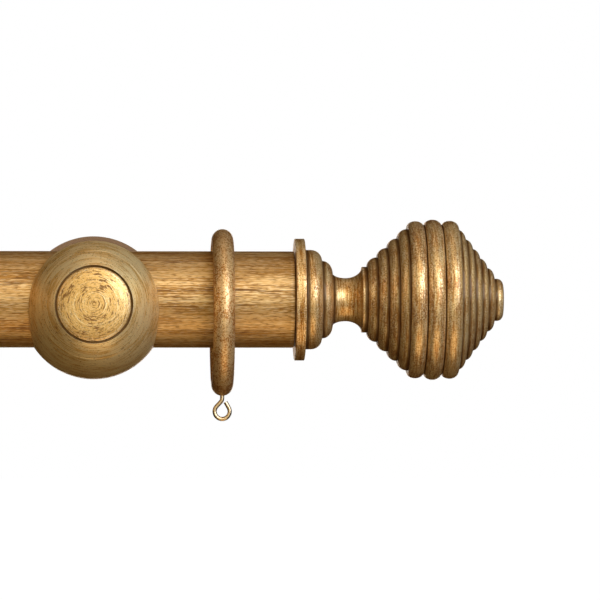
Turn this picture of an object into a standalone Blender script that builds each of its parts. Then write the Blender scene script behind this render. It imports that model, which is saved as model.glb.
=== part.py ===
"""A wooden curtain pole set: pole, two open cup brackets, two ribbed finials and eight rings.

Units are metres. +X runs along the pole to the right, +Y into the wall, +Z up.
The origin is the centre of the right-hand bracket's wall face, on the line the bracket is turned about.
"""

import math

import bmesh
import bpy
from mathutils import Euler, Matrix, Vector

# ---------------------------------------------------------------- clearances
SEAT_GAP = 0.0003          # every face that rests on, or fits in, another piece
CUT_PAST = 0.002           # how far a cutter runs past the surface it opens

# ---------------------------------------------------------------- pole
POLE_RADIUS = 0.025
POLE_LENGTH = 0.900
POLE_OVERHANG = 0.1034     # bracket centre line to the end of the pole
POLE_EDGE = 0.0006         # sanded edge round each end

# ---------------------------------------------------------------- cup bracket
PROJECTION = 0.100         # wall to pole axis
POLE_RISE = 0.0037         # pole axis above the axis that the bracket is turned about
CUP_WALL = 0.0124          # greatest cup radius beyond the pole's radius
CUP_NOSE = 0.030           # length of the nose's ellipse beyond the pole's radius
CUP_BACK = 0.0130          # back wall, from the pole to the cup's back face
CUP_SHOULDER = 0.0118      # length of the rounding behind the back wall's widest part
CUP_BACK_FLAT = 0.0190     # radius of the cup's flat back face
BUTTON_RADIUS = 0.0189     # turned button on the nose
BUTTON_DOME = 0.0030
BUTTON_GROOVE = 0.0010     # width of the groove round the button
BUTTON_GROOVE_DEPTH = 0.0018
LIP_EDGE = 0.0004          # softened outer lip of that groove

STEM_WAIST = 0.0105        # radius at the middle of the stem
STEM_COLLAR = 0.0165       # radius of the collar at each end
STEM_COLLAR_LENGTH = 0.0060
STEM_FILLET = 0.0020       # flat beside each collar
SPIGOT_RADIUS = 0.0090     # glued spigot on the stem's front end
SPIGOT_LENGTH = 0.0050

ROSE_RADIUS = 0.0350       # turned wooden disc against the wall
ROSE_THICKNESS = 0.0200
ROSE_RIM = 0.0060          # straight rim beside the wall
ROSE_FACE_RADIUS = 0.0190  # small front face that the stem stands on

PLATE_RADIUS = 0.0240      # steel wall plate let into the rose
PLATE_THICKNESS = 0.0030
PLATE_HOLE_RADIUS = 0.0024
PLATE_HOLE_CIRCLE = 0.0160
PLATE_HOLES = 3
STUD_RADIUS = 0.0040       # stud welded to the plate
STUD_REACH = 0.0120        # how far it enters the stem
STUD_EDGE = 0.0006

INSERT_WALL = 0.0022       # brass insert in the stem's back end
INSERT_LENGTH = 0.0110

CUP_SCREW_RADIUS = 0.0022
CUP_SCREW_HEAD = 0.0045
CUP_SCREW_HEAD_DEPTH = 0.0026
SCREW_TO_STUD = 0.0094     # wood left in the stem between this screw and the stud
SCREW_POINT = 0.0040       # tapered tip of a wood screw
SCREW_TIP = 0.00055

# ---------------------------------------------------------------- finial, from its flange outwards
FLANGE_LIP = 0.0066        # flange beyond the pole's radius
FLANGE_THICKNESS = 0.0052
FLANGE_EDGE = 0.0007
NECK_COVE = (0.0058, 0.0036)    # place along the finial, depth below the flange's radius
UPPER_OVOLO = (0.0085, 0.0058)  # where the first quarter round begins, in the same way
UPPER_OVOLO_SIZE = (0.0057, 0.0051)
LOWER_OVOLO = (0.0146, 0.0115)
LOWER_OVOLO_SIZE = (0.0052, 0.0061)
WAIST = (0.0265, 0.01124)       # place along the finial, radius
FILLET = (0.0348, 0.0171)
RIBS_START = 0.0374
LEFT_RIBS = 4
LEFT_RIB_PITCH = 0.00525
LEFT_RIB_RISE = 0.0049
BEAD_BASE = 0.0380
BEADS = ((0.0085, 0.0408), (0.0093, 0.0416), (0.0086, 0.0410))  # width, crest radius
RIGHT_RIBS = 5
RIGHT_RIB_PITCH = 0.00378
RIGHT_RIB_START = 0.0363
RIGHT_RIB_FALL = 0.00494
KNOB_RADIUS = 0.0110
KNOB_LENGTH = 0.0046
KNOB_EDGE = 0.0024

DOWEL_SCREW_RADIUS = 0.0035     # double-ended screw between finial and pole
DOWEL_SCREW_LENGTH = 0.0500
DOWEL_SCREW_EDGE = 0.0012

# ---------------------------------------------------------------- rings
RING_PLAY = 0.0070         # inner radius beyond the pole's radius
RING_SECTION = 0.0056      # radius of the ring's round section
INNER_RINGS = 6
OUTER_RING_PLACE = 0.0664  # bracket centre line to the ring beyond it

EYE_WIRE = 0.0011          # radius of the screw eye's wire
EYE_LOOP = 0.0039          # radius of the loop, to the wire's middle
EYE_NECK = 0.0026          # straight neck below the ring
EYE_DROP = 0.0083          # loop centre below the ring
EYE_SHANK = 0.0080         # screwed into the ring
EYE_SLIT = 0.00025         # gap between the wire's end and the neck

# ---------------------------------------------------------------- facets
CUP_STEPS = 28
FINIAL_STEPS = 20
STEM_STEPS = 24
SMALL_STEPS = 16
POLE_STEPS = 48
RING_STEPS = 20
RING_SIDES = 8
DOME_FACETS = 4            # along each arc of a turned profile
NOSE_FACETS = 7
ROUND_FACETS = 4
HOLLOW_FACETS = 6
SMALL_FACETS = 3
FALL_FACETS = 2
SEAT_FACETS = 24
LOOP_FACETS = 10
WIRE_SIDES_EACH_WAY = 2    # a bevel resolution: eight sides round the wire
SMOOTH_BELOW = math.radians(35)
MERGE = 0.00001

# ---------------------------------------------------------------- worked-out places
SEAT_RADIUS = POLE_RADIUS + SEAT_GAP
CUP_RADIUS = POLE_RADIUS + CUP_WALL
NOSE_LENGTH = POLE_RADIUS + CUP_NOSE
CUP_BACK_FACE = POLE_RADIUS + CUP_BACK
RING_INNER = POLE_RADIUS + RING_PLAY
RING_MAJOR = RING_INNER + RING_SECTION
POLE_CENTRE = Vector((POLE_OVERHANG - POLE_LENGTH / 2, -PROJECTION, POLE_RISE))
BRACKET_SPAN = POLE_LENGTH - 2 * POLE_OVERHANG
STEM_FRONT = PROJECTION - CUP_BACK_FACE - SEAT_GAP
STEM_BACK = ROSE_THICKNESS + SEAT_GAP
CUP_SCREW_REACH = STEM_FRONT - STEM_BACK - STUD_REACH - SCREW_TO_STUD
SCREW_FACE = PROJECTION - SEAT_RADIUS - SEAT_GAP    # the cup screw's head, just below the channel wall
SCREW_HOLE_RADIUS = CUP_SCREW_RADIUS + SEAT_GAP
STUD_HOLE_RADIUS = STUD_RADIUS + SEAT_GAP
INSERT_RADIUS = STUD_HOLE_RADIUS + INSERT_WALL
FLANGE_RADIUS = POLE_RADIUS + FLANGE_LIP

# A ring hangs on the pole by the two facets beside its highest corner
HALF_FACET = math.pi / RING_STEPS
FACET_ACROSS = RING_INNER * math.cos(HALF_FACET) * math.sin(HALF_FACET)
FACET_RISE = RING_INNER * math.cos(HALF_FACET) ** 2
RING_CENTRE_Z = POLE_RISE - FACET_RISE + math.sqrt(SEAT_RADIUS**2 - FACET_ACROSS**2)

OUT_FROM_WALL = Euler((math.radians(90), 0, 0))    # turns local +Z to world -Y
TO_THE_RIGHT = Euler((0, math.radians(90), 0))     # turns local +Z to world +X
TO_THE_LEFT = Euler((0, math.radians(-90), 0))     # turns local +Z to world -X
ALONG_THE_POLE = Matrix(((0, 0, 1), (1, 0, 0), (0, 1, 0))).to_euler()  # X, Y, Z to Y, Z, X

# ---------------------------------------------------------------- finishes: colour, roughness, metallic
FINISHES = {
    "antique_gilt": ((0.36, 0.20, 0.06), 0.42, 0.25),
    "gilded_pole": ((0.40, 0.22, 0.07), 0.40, 0.25),
    "plated_steel": ((0.55, 0.55, 0.53), 0.35, 1.0),
    "zinc_screw": ((0.62, 0.60, 0.55), 0.32, 1.0),
    "pale_brass": ((0.62, 0.47, 0.24), 0.28, 1.0),
}


# ================================================================ tools
def clear_scene():
    for obj in list(bpy.data.objects):
        bpy.data.objects.remove(obj, do_unlink=True)


def new_collection(name):
    collection = bpy.data.collections.new(name)
    bpy.context.scene.collection.children.link(collection)
    return collection


def new_material(name, colour, roughness, metallic):
    material = bpy.data.materials.new(name)
    material.use_nodes = True
    shader = material.node_tree.nodes["Principled BSDF"]
    shader.inputs["Base Color"].default_value = (*colour, 1.0)
    shader.inputs["Roughness"].default_value = roughness
    shader.inputs["Metallic"].default_value = metallic
    return material


def place(obj, collection, location=(0, 0, 0), rotation=(0, 0, 0)):
    for old in list(obj.users_collection):
        old.objects.unlink(obj)
    collection.objects.link(obj)
    obj.location = location
    obj.rotation_euler = rotation
    return obj


def finish(obj, material_name):
    """Gives the object its material and smooth round faces with sharp edges."""
    obj.data.materials.clear()
    obj.data.materials.append(bpy.data.materials[material_name])
    obj.data.shade_smooth()
    obj.data.set_sharp_from_angle(angle=SMOOTH_BELOW)
    return obj


def hide_tool(obj):
    obj.hide_render = True
    obj.display_type = "WIRE"
    return obj


def arc(centre, size, start, end, count):
    """Points (radius, height) on an ellipse about centre; 0 degrees is outwards and 90 is up."""
    points = []
    for i in range(count + 1):
        angle = math.radians(start + (end - start) * i / count)
        points.append((centre[0] + size[0] * math.cos(angle), centre[1] + size[1] * math.sin(angle)))
    return points


def turned(name, profile, steps):
    """A solid turned about local Z; the profile is (radius, height) from the top down."""
    mesh = bpy.data.meshes.new(name)
    vertices = [(radius, 0, height) for radius, height in profile]
    edges = [(i, i + 1) for i in range(len(vertices) - 1)]
    mesh.from_pydata(vertices, edges, [])
    obj = bpy.data.objects.new(name, mesh)
    screw = obj.modifiers.new("Turn", "SCREW")
    screw.axis = "Z"
    screw.angle = math.radians(360)
    screw.steps = steps
    screw.render_steps = steps
    screw.use_merge_vertices = True
    screw.merge_threshold = MERGE
    screw.use_smooth_shade = True
    return obj


def cylinder(name, radius, length, steps, edge=0.0):
    """A bar turned about local Z, from height 0 to length, with chamfered ends."""
    profile = [(0, length), (radius - edge, length), (radius, length - edge)]
    profile += [(radius, edge), (radius - edge, 0), (0, 0)]
    if edge == 0:
        profile = [(0, length), (radius, length), (radius, 0), (0, 0)]
    return turned(name, profile, steps)


def as_mesh(obj):
    """A plain mesh of the object as its modifiers or bevel leave it, with its caps welded on."""
    bpy.context.view_layer.update()
    evaluated = obj.evaluated_get(bpy.context.evaluated_depsgraph_get())
    mesh = bpy.data.meshes.new_from_object(evaluated)
    shape = bmesh.new()
    shape.from_mesh(mesh)
    bmesh.ops.remove_doubles(shape, verts=shape.verts, dist=MERGE)
    bmesh.ops.recalc_face_normals(shape, faces=shape.faces)
    shape.to_mesh(mesh)
    shape.free()
    return mesh


def cut(obj, cutter, label):
    boolean = obj.modifiers.new(label, "BOOLEAN")
    boolean.operation = "DIFFERENCE"
    boolean.solver = "EXACT"
    boolean.object = cutter


def unite(obj, other, label):
    boolean = obj.modifiers.new(label, "BOOLEAN")
    boolean.operation = "UNION"
    boolean.solver = "EXACT"
    boolean.object = other


# ================================================================ profiles
def cup_profile():
    """From the button on the nose to the flat back; heights are measured forwards from the pole axis."""
    groove_outside = BUTTON_RADIUS + BUTTON_GROOVE
    lip = groove_outside + LIP_EDGE
    lip_angle = math.degrees(math.acos(lip / CUP_RADIUS))
    lip_height = NOSE_LENGTH * math.sin(math.radians(lip_angle))
    dome_base = lip_height - LIP_EDGE
    groove_floor = dome_base - BUTTON_GROOVE_DEPTH
    profile = arc((0, dome_base), (BUTTON_RADIUS, BUTTON_DOME), 90, 0, DOME_FACETS)
    profile += [(BUTTON_RADIUS, groove_floor), (groove_outside, groove_floor)]
    profile += [(groove_outside, lip_height - LIP_EDGE / 2)]
    profile += arc((0, 0), (CUP_RADIUS, NOSE_LENGTH), lip_angle, 0, NOSE_FACETS)
    shoulder = CUP_BACK_FACE - CUP_SHOULDER
    rounding = (CUP_RADIUS - CUP_BACK_FLAT, CUP_SHOULDER)
    profile += arc((CUP_BACK_FLAT, -shoulder), rounding, 0, -90, ROUND_FACETS)
    profile += [(0, -CUP_BACK_FACE)]
    return profile


def stem_profile(front, back):
    """Heights are measured out from the wall. Two collars with a long hollow between them."""
    middle = (front + back) / 2
    half = (front - back) / 2 - STEM_COLLAR_LENGTH - STEM_FILLET
    hollow = (STEM_COLLAR - STEM_FILLET - STEM_WAIST, half)
    bead = (STEM_FILLET, STEM_COLLAR_LENGTH / 2)
    bead_radius = STEM_COLLAR - STEM_FILLET
    front_bead = front - STEM_COLLAR_LENGTH / 2
    back_bead = back + STEM_COLLAR_LENGTH / 2
    profile = [(0, front + SPIGOT_LENGTH), (SPIGOT_RADIUS, front + SPIGOT_LENGTH)]
    profile += [(SPIGOT_RADIUS, front)]
    profile += arc((bead_radius, front_bead), bead, 90, -90, ROUND_FACETS)
    profile += arc((bead_radius, middle), hollow, 90, 270, HOLLOW_FACETS)
    profile += arc((bead_radius, back_bead), bead, 90, -90, ROUND_FACETS)
    profile += [(0, back)]
    return profile


def rose_profile():
    """From the small front face, down a hollow and a round, to the rim on the wall."""
    step = (ROSE_RADIUS - ROSE_FACE_RADIUS) / 2
    rise = (ROSE_THICKNESS - ROSE_RIM) / 2
    knee = ROSE_FACE_RADIUS + step
    profile = [(0, ROSE_THICKNESS), (ROSE_FACE_RADIUS, ROSE_THICKNESS)]
    profile += arc((knee, ROSE_THICKNESS), (step, rise), 180, 270, ROUND_FACETS)[1:]
    profile += arc((knee, ROSE_RIM), (step, rise), 90, 0, ROUND_FACETS)[1:]
    profile += [(ROSE_RADIUS, 0), (0, 0)]
    return profile


def finial_profile():
    """(radius, distance from the pole's end), listed from the knob back to the flange."""
    edge = FLANGE_RADIUS - FLANGE_EDGE
    points = [(0, 0), (edge, 0), (FLANGE_RADIUS, FLANGE_EDGE)]
    points += [(FLANGE_RADIUS, FLANGE_THICKNESS - FLANGE_EDGE), (edge, FLANGE_THICKNESS)]
    points += [(FLANGE_RADIUS - NECK_COVE[1], NECK_COVE[0])]
    points += quarter_round(UPPER_OVOLO, UPPER_OVOLO_SIZE)
    points += quarter_round(LOWER_OVOLO, LOWER_OVOLO_SIZE)
    neck_radius, neck_start = points[-1]
    left = (neck_radius - WAIST[1], WAIST[0] - neck_start)
    points += arc((neck_radius, WAIST[0]), left, 270, 180, SMALL_FACETS)[1:]
    right = (FILLET[1] - WAIST[1], FILLET[0] - WAIST[0])
    points += arc((FILLET[1], WAIST[0]), right, 180, 90, ROUND_FACETS)[1:]
    points += [(FILLET[1], RIBS_START)]
    along = RIBS_START
    radius = FILLET[1]
    for _ in range(LEFT_RIBS):
        rib = (LEFT_RIB_RISE, LEFT_RIB_PITCH)
        points += arc((radius, along + LEFT_RIB_PITCH), rib, 270, 360, SMALL_FACETS)[1:]
        along += LEFT_RIB_PITCH
        radius += LEFT_RIB_RISE
    for width, crest in BEADS:
        half = width / 2
        points += arc((BEAD_BASE, along + half), (crest - BEAD_BASE, half), -90, 90, ROUND_FACETS)
        along += width
    radius = RIGHT_RIB_START
    for _ in range(RIGHT_RIBS):
        rib = (RIGHT_RIB_FALL, RIGHT_RIB_PITCH)
        radius -= RIGHT_RIB_FALL
        points += arc((radius, along), rib, 0, 90, FALL_FACETS)
        along += RIGHT_RIB_PITCH
    knob_edge = (KNOB_RADIUS - KNOB_EDGE, along + KNOB_LENGTH - KNOB_EDGE)
    points += [(KNOB_RADIUS, along)]
    points += arc(knob_edge, (KNOB_EDGE, KNOB_EDGE), 0, 90, SMALL_FACETS)
    points += [(0, along + KNOB_LENGTH)]
    return points[::-1]


def quarter_round(start, size):
    """A round that begins along the finial's axis and turns in towards it."""
    radius = FLANGE_RADIUS - start[1] - size[1]
    return arc((radius, start[0]), (size[1], size[0]), 0, 90, SMALL_FACETS)


# ================================================================ bracket
class Station:
    """One bracket's place on the wall; forward is a distance out from the wall."""

    def __init__(self, side, x, parts, cutters):
        self.side = side
        self.x = x
        self.parts = parts
        self.cutters = cutters

    def spot(self, forward):
        return Vector((self.x, -forward, 0))

    def part(self, obj, material_name, forward=0.0):
        place(obj, self.parts, self.spot(forward), OUT_FROM_WALL)
        return finish(obj, material_name)

    def cutter(self, obj, forward=0.0):
        return hide_tool(place(obj, self.cutters, self.spot(forward), OUT_FROM_WALL))

    def bore(self, name, radius, start, end, steps=SMALL_STEPS):
        """A round cutter on the bracket's own axis."""
        return self.cutter(cylinder(f"{name}_{self.side}", radius, end - start, steps), start)


def wall_plate(station):
    """Steel disc with three screw holes and a welded stud that stands out of its middle."""
    plate = cylinder(f"wall_plate_{station.side}", PLATE_RADIUS, PLATE_THICKNESS, STEM_STEPS)
    station.part(plate, "plated_steel")
    start = PLATE_THICKNESS / 2
    length = STEM_BACK + STUD_REACH - start
    stud = cylinder(f"stud_{station.side}", STUD_RADIUS, length, SMALL_STEPS, STUD_EDGE)
    unite(plate, station.cutter(stud, start), "Stud")
    for i in range(PLATE_HOLES):
        angle = math.radians(90 + 360 * i / PLATE_HOLES)
        hole = station.bore(
            f"plate_hole_{i}", PLATE_HOLE_RADIUS, -CUT_PAST, PLATE_THICKNESS + CUT_PAST
        )
        hole.location.x += PLATE_HOLE_CIRCLE * math.cos(angle)
        hole.location.z += PLATE_HOLE_CIRCLE * math.sin(angle)
        cut(plate, hole, f"Screw hole {i}")


def rose(station):
    """Turned disc that covers the wall plate, which lies in a recess in its back."""
    disc = station.part(turned(f"rose_{station.side}", rose_profile(), CUP_STEPS), "antique_gilt")
    recess_radius = PLATE_RADIUS + SEAT_GAP
    recess_end = PLATE_THICKNESS + SEAT_GAP
    cut(disc, station.bore("rose_recess", recess_radius, -CUT_PAST, recess_end, STEM_STEPS), "Recess")
    bore_end = ROSE_THICKNESS + CUT_PAST
    cut(disc, station.bore("rose_bore", STUD_HOLE_RADIUS, -CUT_PAST, bore_end), "Stud hole")


def stem_insert(station):
    """Brass sleeve in the stem's back end, which screws on to the stud."""
    sleeve = cylinder(f"stem_insert_{station.side}", INSERT_RADIUS, INSERT_LENGTH, SMALL_STEPS)
    station.part(sleeve, "pale_brass", STEM_BACK)
    start = STEM_BACK - CUT_PAST
    end = STEM_BACK + INSERT_LENGTH + CUT_PAST
    cut(sleeve, station.bore("insert_bore", STUD_HOLE_RADIUS, start, end), "Stud hole")


def stem(station):
    """Turned arm from the rose to the cup, with a spigot in front and the insert's pocket behind."""
    profile = stem_profile(STEM_FRONT, STEM_BACK)
    arm = station.part(turned(f"stem_{station.side}", profile, STEM_STEPS), "antique_gilt")
    pocket_end = STEM_BACK + max(INSERT_LENGTH, STUD_REACH) + SEAT_GAP
    pocket_radius = INSERT_RADIUS + SEAT_GAP
    cut(arm, station.bore("stem_pocket", pocket_radius, STEM_BACK - CUT_PAST, pocket_end), "Pocket")
    start = STEM_FRONT - CUP_SCREW_REACH - SEAT_GAP
    end = STEM_FRONT + SPIGOT_LENGTH + CUT_PAST
    cut(arm, station.bore("stem_bore", SCREW_HOLE_RADIUS, start, end), "Cup screw hole")


def channel_cutter(station):
    """The U-shaped way for the pole: round below the pole's axis and open above it."""
    name = f"cup_channel_{station.side}"
    outline = [(SEAT_RADIUS, CUP_RADIUS + CUT_PAST)]
    outline += arc((0, 0), (SEAT_RADIUS, SEAT_RADIUS), 0, -180, SEAT_FACETS)
    outline += [(-SEAT_RADIUS, CUP_RADIUS + CUT_PAST)]
    curve = bpy.data.curves.new(name, "CURVE")
    curve.dimensions = "2D"
    curve.fill_mode = "BOTH"
    curve.extrude = CUP_RADIUS + CUT_PAST
    spline = curve.splines.new("POLY")
    spline.points.add(len(outline) - 1)
    for point, (across, height) in zip(spline.points, outline):
        point.co = (across, height, 0, 1)
    spline.use_cyclic_u = True
    flat = bpy.data.objects.new(name, curve)
    station.cutters.objects.link(flat)
    mesh = as_mesh(flat)
    bpy.data.objects.remove(flat, do_unlink=True)
    axis = Vector((station.x, -PROJECTION, POLE_RISE))
    return hide_tool(place(bpy.data.objects.new(name, mesh), station.cutters, axis, ALONG_THE_POLE))


def cup(station):
    """Turned cup, open at the top for the pole, with the stem's socket in its back."""
    body = turned(f"cup_{station.side}", cup_profile(), CUP_STEPS)
    station.part(body, "antique_gilt", PROJECTION)
    cut(body, channel_cutter(station), "Pole channel")
    socket_radius = SPIGOT_RADIUS + SEAT_GAP
    socket_end = STEM_FRONT + SPIGOT_LENGTH + 2 * SEAT_GAP
    socket = station.bore(
        "cup_socket", socket_radius, STEM_FRONT - CUT_PAST, socket_end, STEM_STEPS
    )
    cut(body, socket, "Spigot socket")
    head_hole = CUP_SCREW_HEAD + SEAT_GAP
    profile = [(0, CUT_PAST), (head_hole, CUT_PAST), (head_hole, 0)]
    profile += [(SCREW_HOLE_RADIUS, -CUP_SCREW_HEAD_DEPTH - SEAT_GAP)]
    profile += [(SCREW_HOLE_RADIUS, -CUP_BACK - CUT_PAST), (0, -CUP_BACK - CUT_PAST)]
    countersink = turned(f"cup_countersink_{station.side}", profile, SMALL_STEPS)
    cut(body, station.cutter(countersink, SCREW_FACE), "Cup screw hole")


def cup_screw(station):
    """Countersunk screw from the channel, through the cup's back wall, into the stem."""
    length = SCREW_FACE - STEM_FRONT + CUP_SCREW_REACH
    profile = [(0, 0), (CUP_SCREW_HEAD, 0), (CUP_SCREW_RADIUS, -CUP_SCREW_HEAD_DEPTH)]
    profile += [(CUP_SCREW_RADIUS, SCREW_POINT - length), (SCREW_TIP, -length), (0, -length)]
    screw = turned(f"cup_screw_{station.side}", profile, SMALL_STEPS)
    station.part(screw, "zinc_screw", SCREW_FACE)


def bracket(station):
    wall_plate(station)
    rose(station)
    stem_insert(station)
    stem(station)
    cup(station)
    cup_screw(station)


# ================================================================ pole and finials
def pole_end(sign):
    """The middle of the pole's right end for 1, or of its left end for -1."""
    return POLE_CENTRE + Vector((sign * POLE_LENGTH / 2, 0, 0))


def dowel_hole(name, sign, turn, cutters):
    """Cutter across one pole end, with room for the whole finial screw."""
    reach = DOWEL_SCREW_LENGTH / 2 + SEAT_GAP
    hole = cylinder(name, DOWEL_SCREW_RADIUS + SEAT_GAP, 2 * reach, SMALL_STEPS)
    start = pole_end(sign) - Vector((sign * reach, 0, 0))
    return hide_tool(place(hole, cutters, start, turn))


def pole(parts, cutters):
    body = cylinder("pole", POLE_RADIUS, POLE_LENGTH, POLE_STEPS, POLE_EDGE)
    place(body, parts, pole_end(-1), TO_THE_RIGHT)
    finish(body, "gilded_pole")
    cut(body, dowel_hole("pole_hole_right", 1, TO_THE_RIGHT, cutters), "Right screw hole")
    cut(body, dowel_hole("pole_hole_left", -1, TO_THE_LEFT, cutters), "Left screw hole")


def finial(side, sign, turn, parts, cutters):
    """A finial and the screw that holds it; sign is the way it points along X."""
    end = pole_end(sign)
    body = turned(f"finial_{side}", finial_profile(), FINIAL_STEPS)
    place(body, parts, end + Vector((sign * SEAT_GAP, 0, 0)), turn)
    finish(body, "antique_gilt")
    cut(body, dowel_hole(f"finial_hole_{side}", sign, turn, cutters), "Screw hole")
    name = f"finial_screw_{side}"
    screw = cylinder(name, DOWEL_SCREW_RADIUS, DOWEL_SCREW_LENGTH, SMALL_STEPS, DOWEL_SCREW_EDGE)
    place(screw, parts, end - Vector((sign * DOWEL_SCREW_LENGTH / 2, 0, 0)), turn)
    finish(screw, "zinc_screw")


# ================================================================ rings
def ring_mesh(cutters):
    """A round-section ring about local X, with a pilot hole at its lowest point."""
    bpy.ops.mesh.primitive_torus_add(
        major_segments=RING_STEPS,
        minor_segments=RING_SIDES,
        major_radius=RING_MAJOR,
        minor_radius=RING_SECTION,
        rotation=TO_THE_RIGHT,
    )
    torus = bpy.context.object
    depth = EYE_SHANK + SEAT_GAP + CUT_PAST
    hole = cylinder("ring_hole", EYE_WIRE + SEAT_GAP, depth, RING_SIDES)
    bottom = -RING_MAJOR - RING_SECTION
    hide_tool(place(hole, cutters, (0, 0, bottom - CUT_PAST)))
    cut(torus, hole, "Eye hole")
    mesh = as_mesh(torus)
    mesh.transform(torus.rotation_euler.to_matrix().to_4x4())
    bpy.data.objects.remove(torus, do_unlink=True)
    return mesh


def eye_path():
    """The wire's middle line in X and Z below the ring's lowest point: shank, neck, loop, open end."""
    bend = Vector((0, 0, -EYE_NECK))
    tangent = math.degrees(math.acos(EYE_LOOP / (EYE_DROP - EYE_NECK)))
    path = [Vector((0, 0, EYE_SHANK)), bend]
    loop = (EYE_LOOP, EYE_LOOP)
    for across, height in arc((0, -EYE_DROP), loop, 90 + tangent, 450 - tangent, LOOP_FACETS):
        path.append(Vector((across, 0, height)))
    towards_neck = (bend - path[-1]).normalized()
    path.append(bend - towards_neck * (EYE_WIRE + EYE_SLIT))
    return path


def eye_mesh(collection):
    curve = bpy.data.curves.new("eye_wire", "CURVE")
    curve.dimensions = "3D"
    curve.bevel_depth = EYE_WIRE
    curve.bevel_resolution = WIRE_SIDES_EACH_WAY
    curve.use_fill_caps = True
    spline = curve.splines.new("POLY")
    path = eye_path()
    spline.points.add(len(path) - 1)
    for point, position in zip(spline.points, path):
        point.co = (*position, 1)
    wire = bpy.data.objects.new("eye_wire", curve)
    collection.objects.link(wire)
    mesh = as_mesh(wire)
    bpy.data.objects.remove(wire, do_unlink=True)
    return mesh


def ring_places():
    """X of each ring, right to left: one beyond each bracket and the rest shared out between them."""
    pitch = BRACKET_SPAN / (INNER_RINGS + 1)
    inner = [-pitch * (i + 1) for i in range(INNER_RINGS)]
    return [OUTER_RING_PLACE, *inner, -BRACKET_SPAN - OUTER_RING_PLACE]


def rings(parts, cutters):
    wooden = ring_mesh(cutters)
    wire = eye_mesh(cutters)
    for number, x in enumerate(ring_places(), start=1):
        centre = Vector((x, -PROJECTION, RING_CENTRE_Z))
        ring = bpy.data.objects.new(f"ring_{number:02d}", wooden)
        place(ring, parts, centre)
        finish(ring, "antique_gilt")
        eye = bpy.data.objects.new(f"screw_eye_{number:02d}", wire)
        place(eye, parts, (0, 0, -RING_MAJOR - RING_SECTION))
        eye.parent = ring
        finish(eye, "pale_brass")


# ================================================================ the set
def main():
    clear_scene()
    parts = new_collection("curtain_pole_set")
    cutters = new_collection("cutters")
    for name, look in FINISHES.items():
        new_material(name, *look)
    bracket(Station("right", 0.0, parts, cutters))
    bracket(Station("left", -BRACKET_SPAN, parts, cutters))
    pole(parts, cutters)
    finial("right", 1, TO_THE_RIGHT, parts, cutters)
    finial("left", -1, TO_THE_LEFT, parts, cutters)
    rings(parts, cutters)


main()
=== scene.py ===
# %% [markdown]
# # A gilded curtain pole with cup brackets
#
# The set is a round wooden pole that lies in two turned cups, with a ribbed finial screwed into each end
# and eight wooden rings that slide along it. Nearly all of it is round, so most of this file is one idea used
# many times: draw half of an outline, then turn it round an axis.
#
# The frame is the finished mechanical model. It already holds every size, every joint and all that moves.
# This file only makes the looks, so each piece below takes its place from the frame and rides on it.

# %% Load the frame
import math

import bmesh
import bpy
from mathutils import Matrix, Vector


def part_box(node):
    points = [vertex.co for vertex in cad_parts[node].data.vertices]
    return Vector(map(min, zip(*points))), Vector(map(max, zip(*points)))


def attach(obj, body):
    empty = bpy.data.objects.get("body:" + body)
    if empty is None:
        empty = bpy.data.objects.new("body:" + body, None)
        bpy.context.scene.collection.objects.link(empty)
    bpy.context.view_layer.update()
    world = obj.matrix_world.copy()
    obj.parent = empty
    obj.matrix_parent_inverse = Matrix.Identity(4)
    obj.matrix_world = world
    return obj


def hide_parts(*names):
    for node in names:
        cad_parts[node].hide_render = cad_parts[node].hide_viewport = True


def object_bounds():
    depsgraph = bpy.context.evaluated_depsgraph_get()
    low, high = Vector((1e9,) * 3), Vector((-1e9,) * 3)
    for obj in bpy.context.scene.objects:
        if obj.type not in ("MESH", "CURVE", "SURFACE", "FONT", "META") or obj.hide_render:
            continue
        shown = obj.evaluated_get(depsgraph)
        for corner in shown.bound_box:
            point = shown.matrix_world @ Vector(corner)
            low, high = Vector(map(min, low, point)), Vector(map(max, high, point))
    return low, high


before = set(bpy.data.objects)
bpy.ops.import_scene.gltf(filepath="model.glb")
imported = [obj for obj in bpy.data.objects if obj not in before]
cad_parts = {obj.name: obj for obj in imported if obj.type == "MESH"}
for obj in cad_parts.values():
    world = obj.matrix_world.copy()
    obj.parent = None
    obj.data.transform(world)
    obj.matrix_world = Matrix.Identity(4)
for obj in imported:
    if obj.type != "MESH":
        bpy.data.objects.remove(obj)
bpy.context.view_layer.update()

MM = 0.001


# %% [markdown]
# ## Places
#
# A box round each node says where its piece goes and how large it is. Reading sizes from the frame, and not
# from a list of numbers, keeps the two models together if the frame is ever made in another size.

# %% Read the places from the frame
def middle(node):
    low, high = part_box(node)
    return (low + high) / 2


def extent(node):
    low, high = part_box(node)
    return high - low


BRACKET_X = {side: middle(f"cup_{side}").x for side in ("right", "left")}
POLE_LOW, POLE_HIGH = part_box("pole")
POLE_RADIUS = extent("pole").z / 2
POLE_AXIS = middle("pole")
PROJECTION = -POLE_AXIS.y
RING_NODES = sorted(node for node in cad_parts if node.startswith("ring_"))
SEAT_GAP = 0.3 * MM
print("pole radius:", round(POLE_RADIUS / MM, 2), "mm; wall to pole axis:", round(PROJECTION / MM, 2), "mm")
print("rings:", len(RING_NODES), "at", [round(middle(node).x / MM) for node in RING_NODES])


# %% [markdown]
# ## Camera and light
#
# A long lens a few metres away, a little below the pole, looks up at the right-hand end of the set. The light
# is a large, slightly cool soft box at the front right. Warm and weaker ones on the other sides fill the
# shadows, as walls and a table do in a studio, and two stand behind the set so that its back can be read. The
# paper is lit until it is plain white, and it adds no light to the piece: a gilded round bar is drawn by the
# dark at its upper and lower edges, and a bright floor would wash that dark away.

# %% Camera
VIEW_DISTANCE = 2.5
VIEW_WIDTH = 0.3107        # metres across the picture, at the distance of the pole
EYE = Vector((-0.008, POLE_AXIS.y - VIEW_DISTANCE, -0.0626))
AIM = Vector((0.1067, POLE_AXIS.y, 0.0035))


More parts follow.
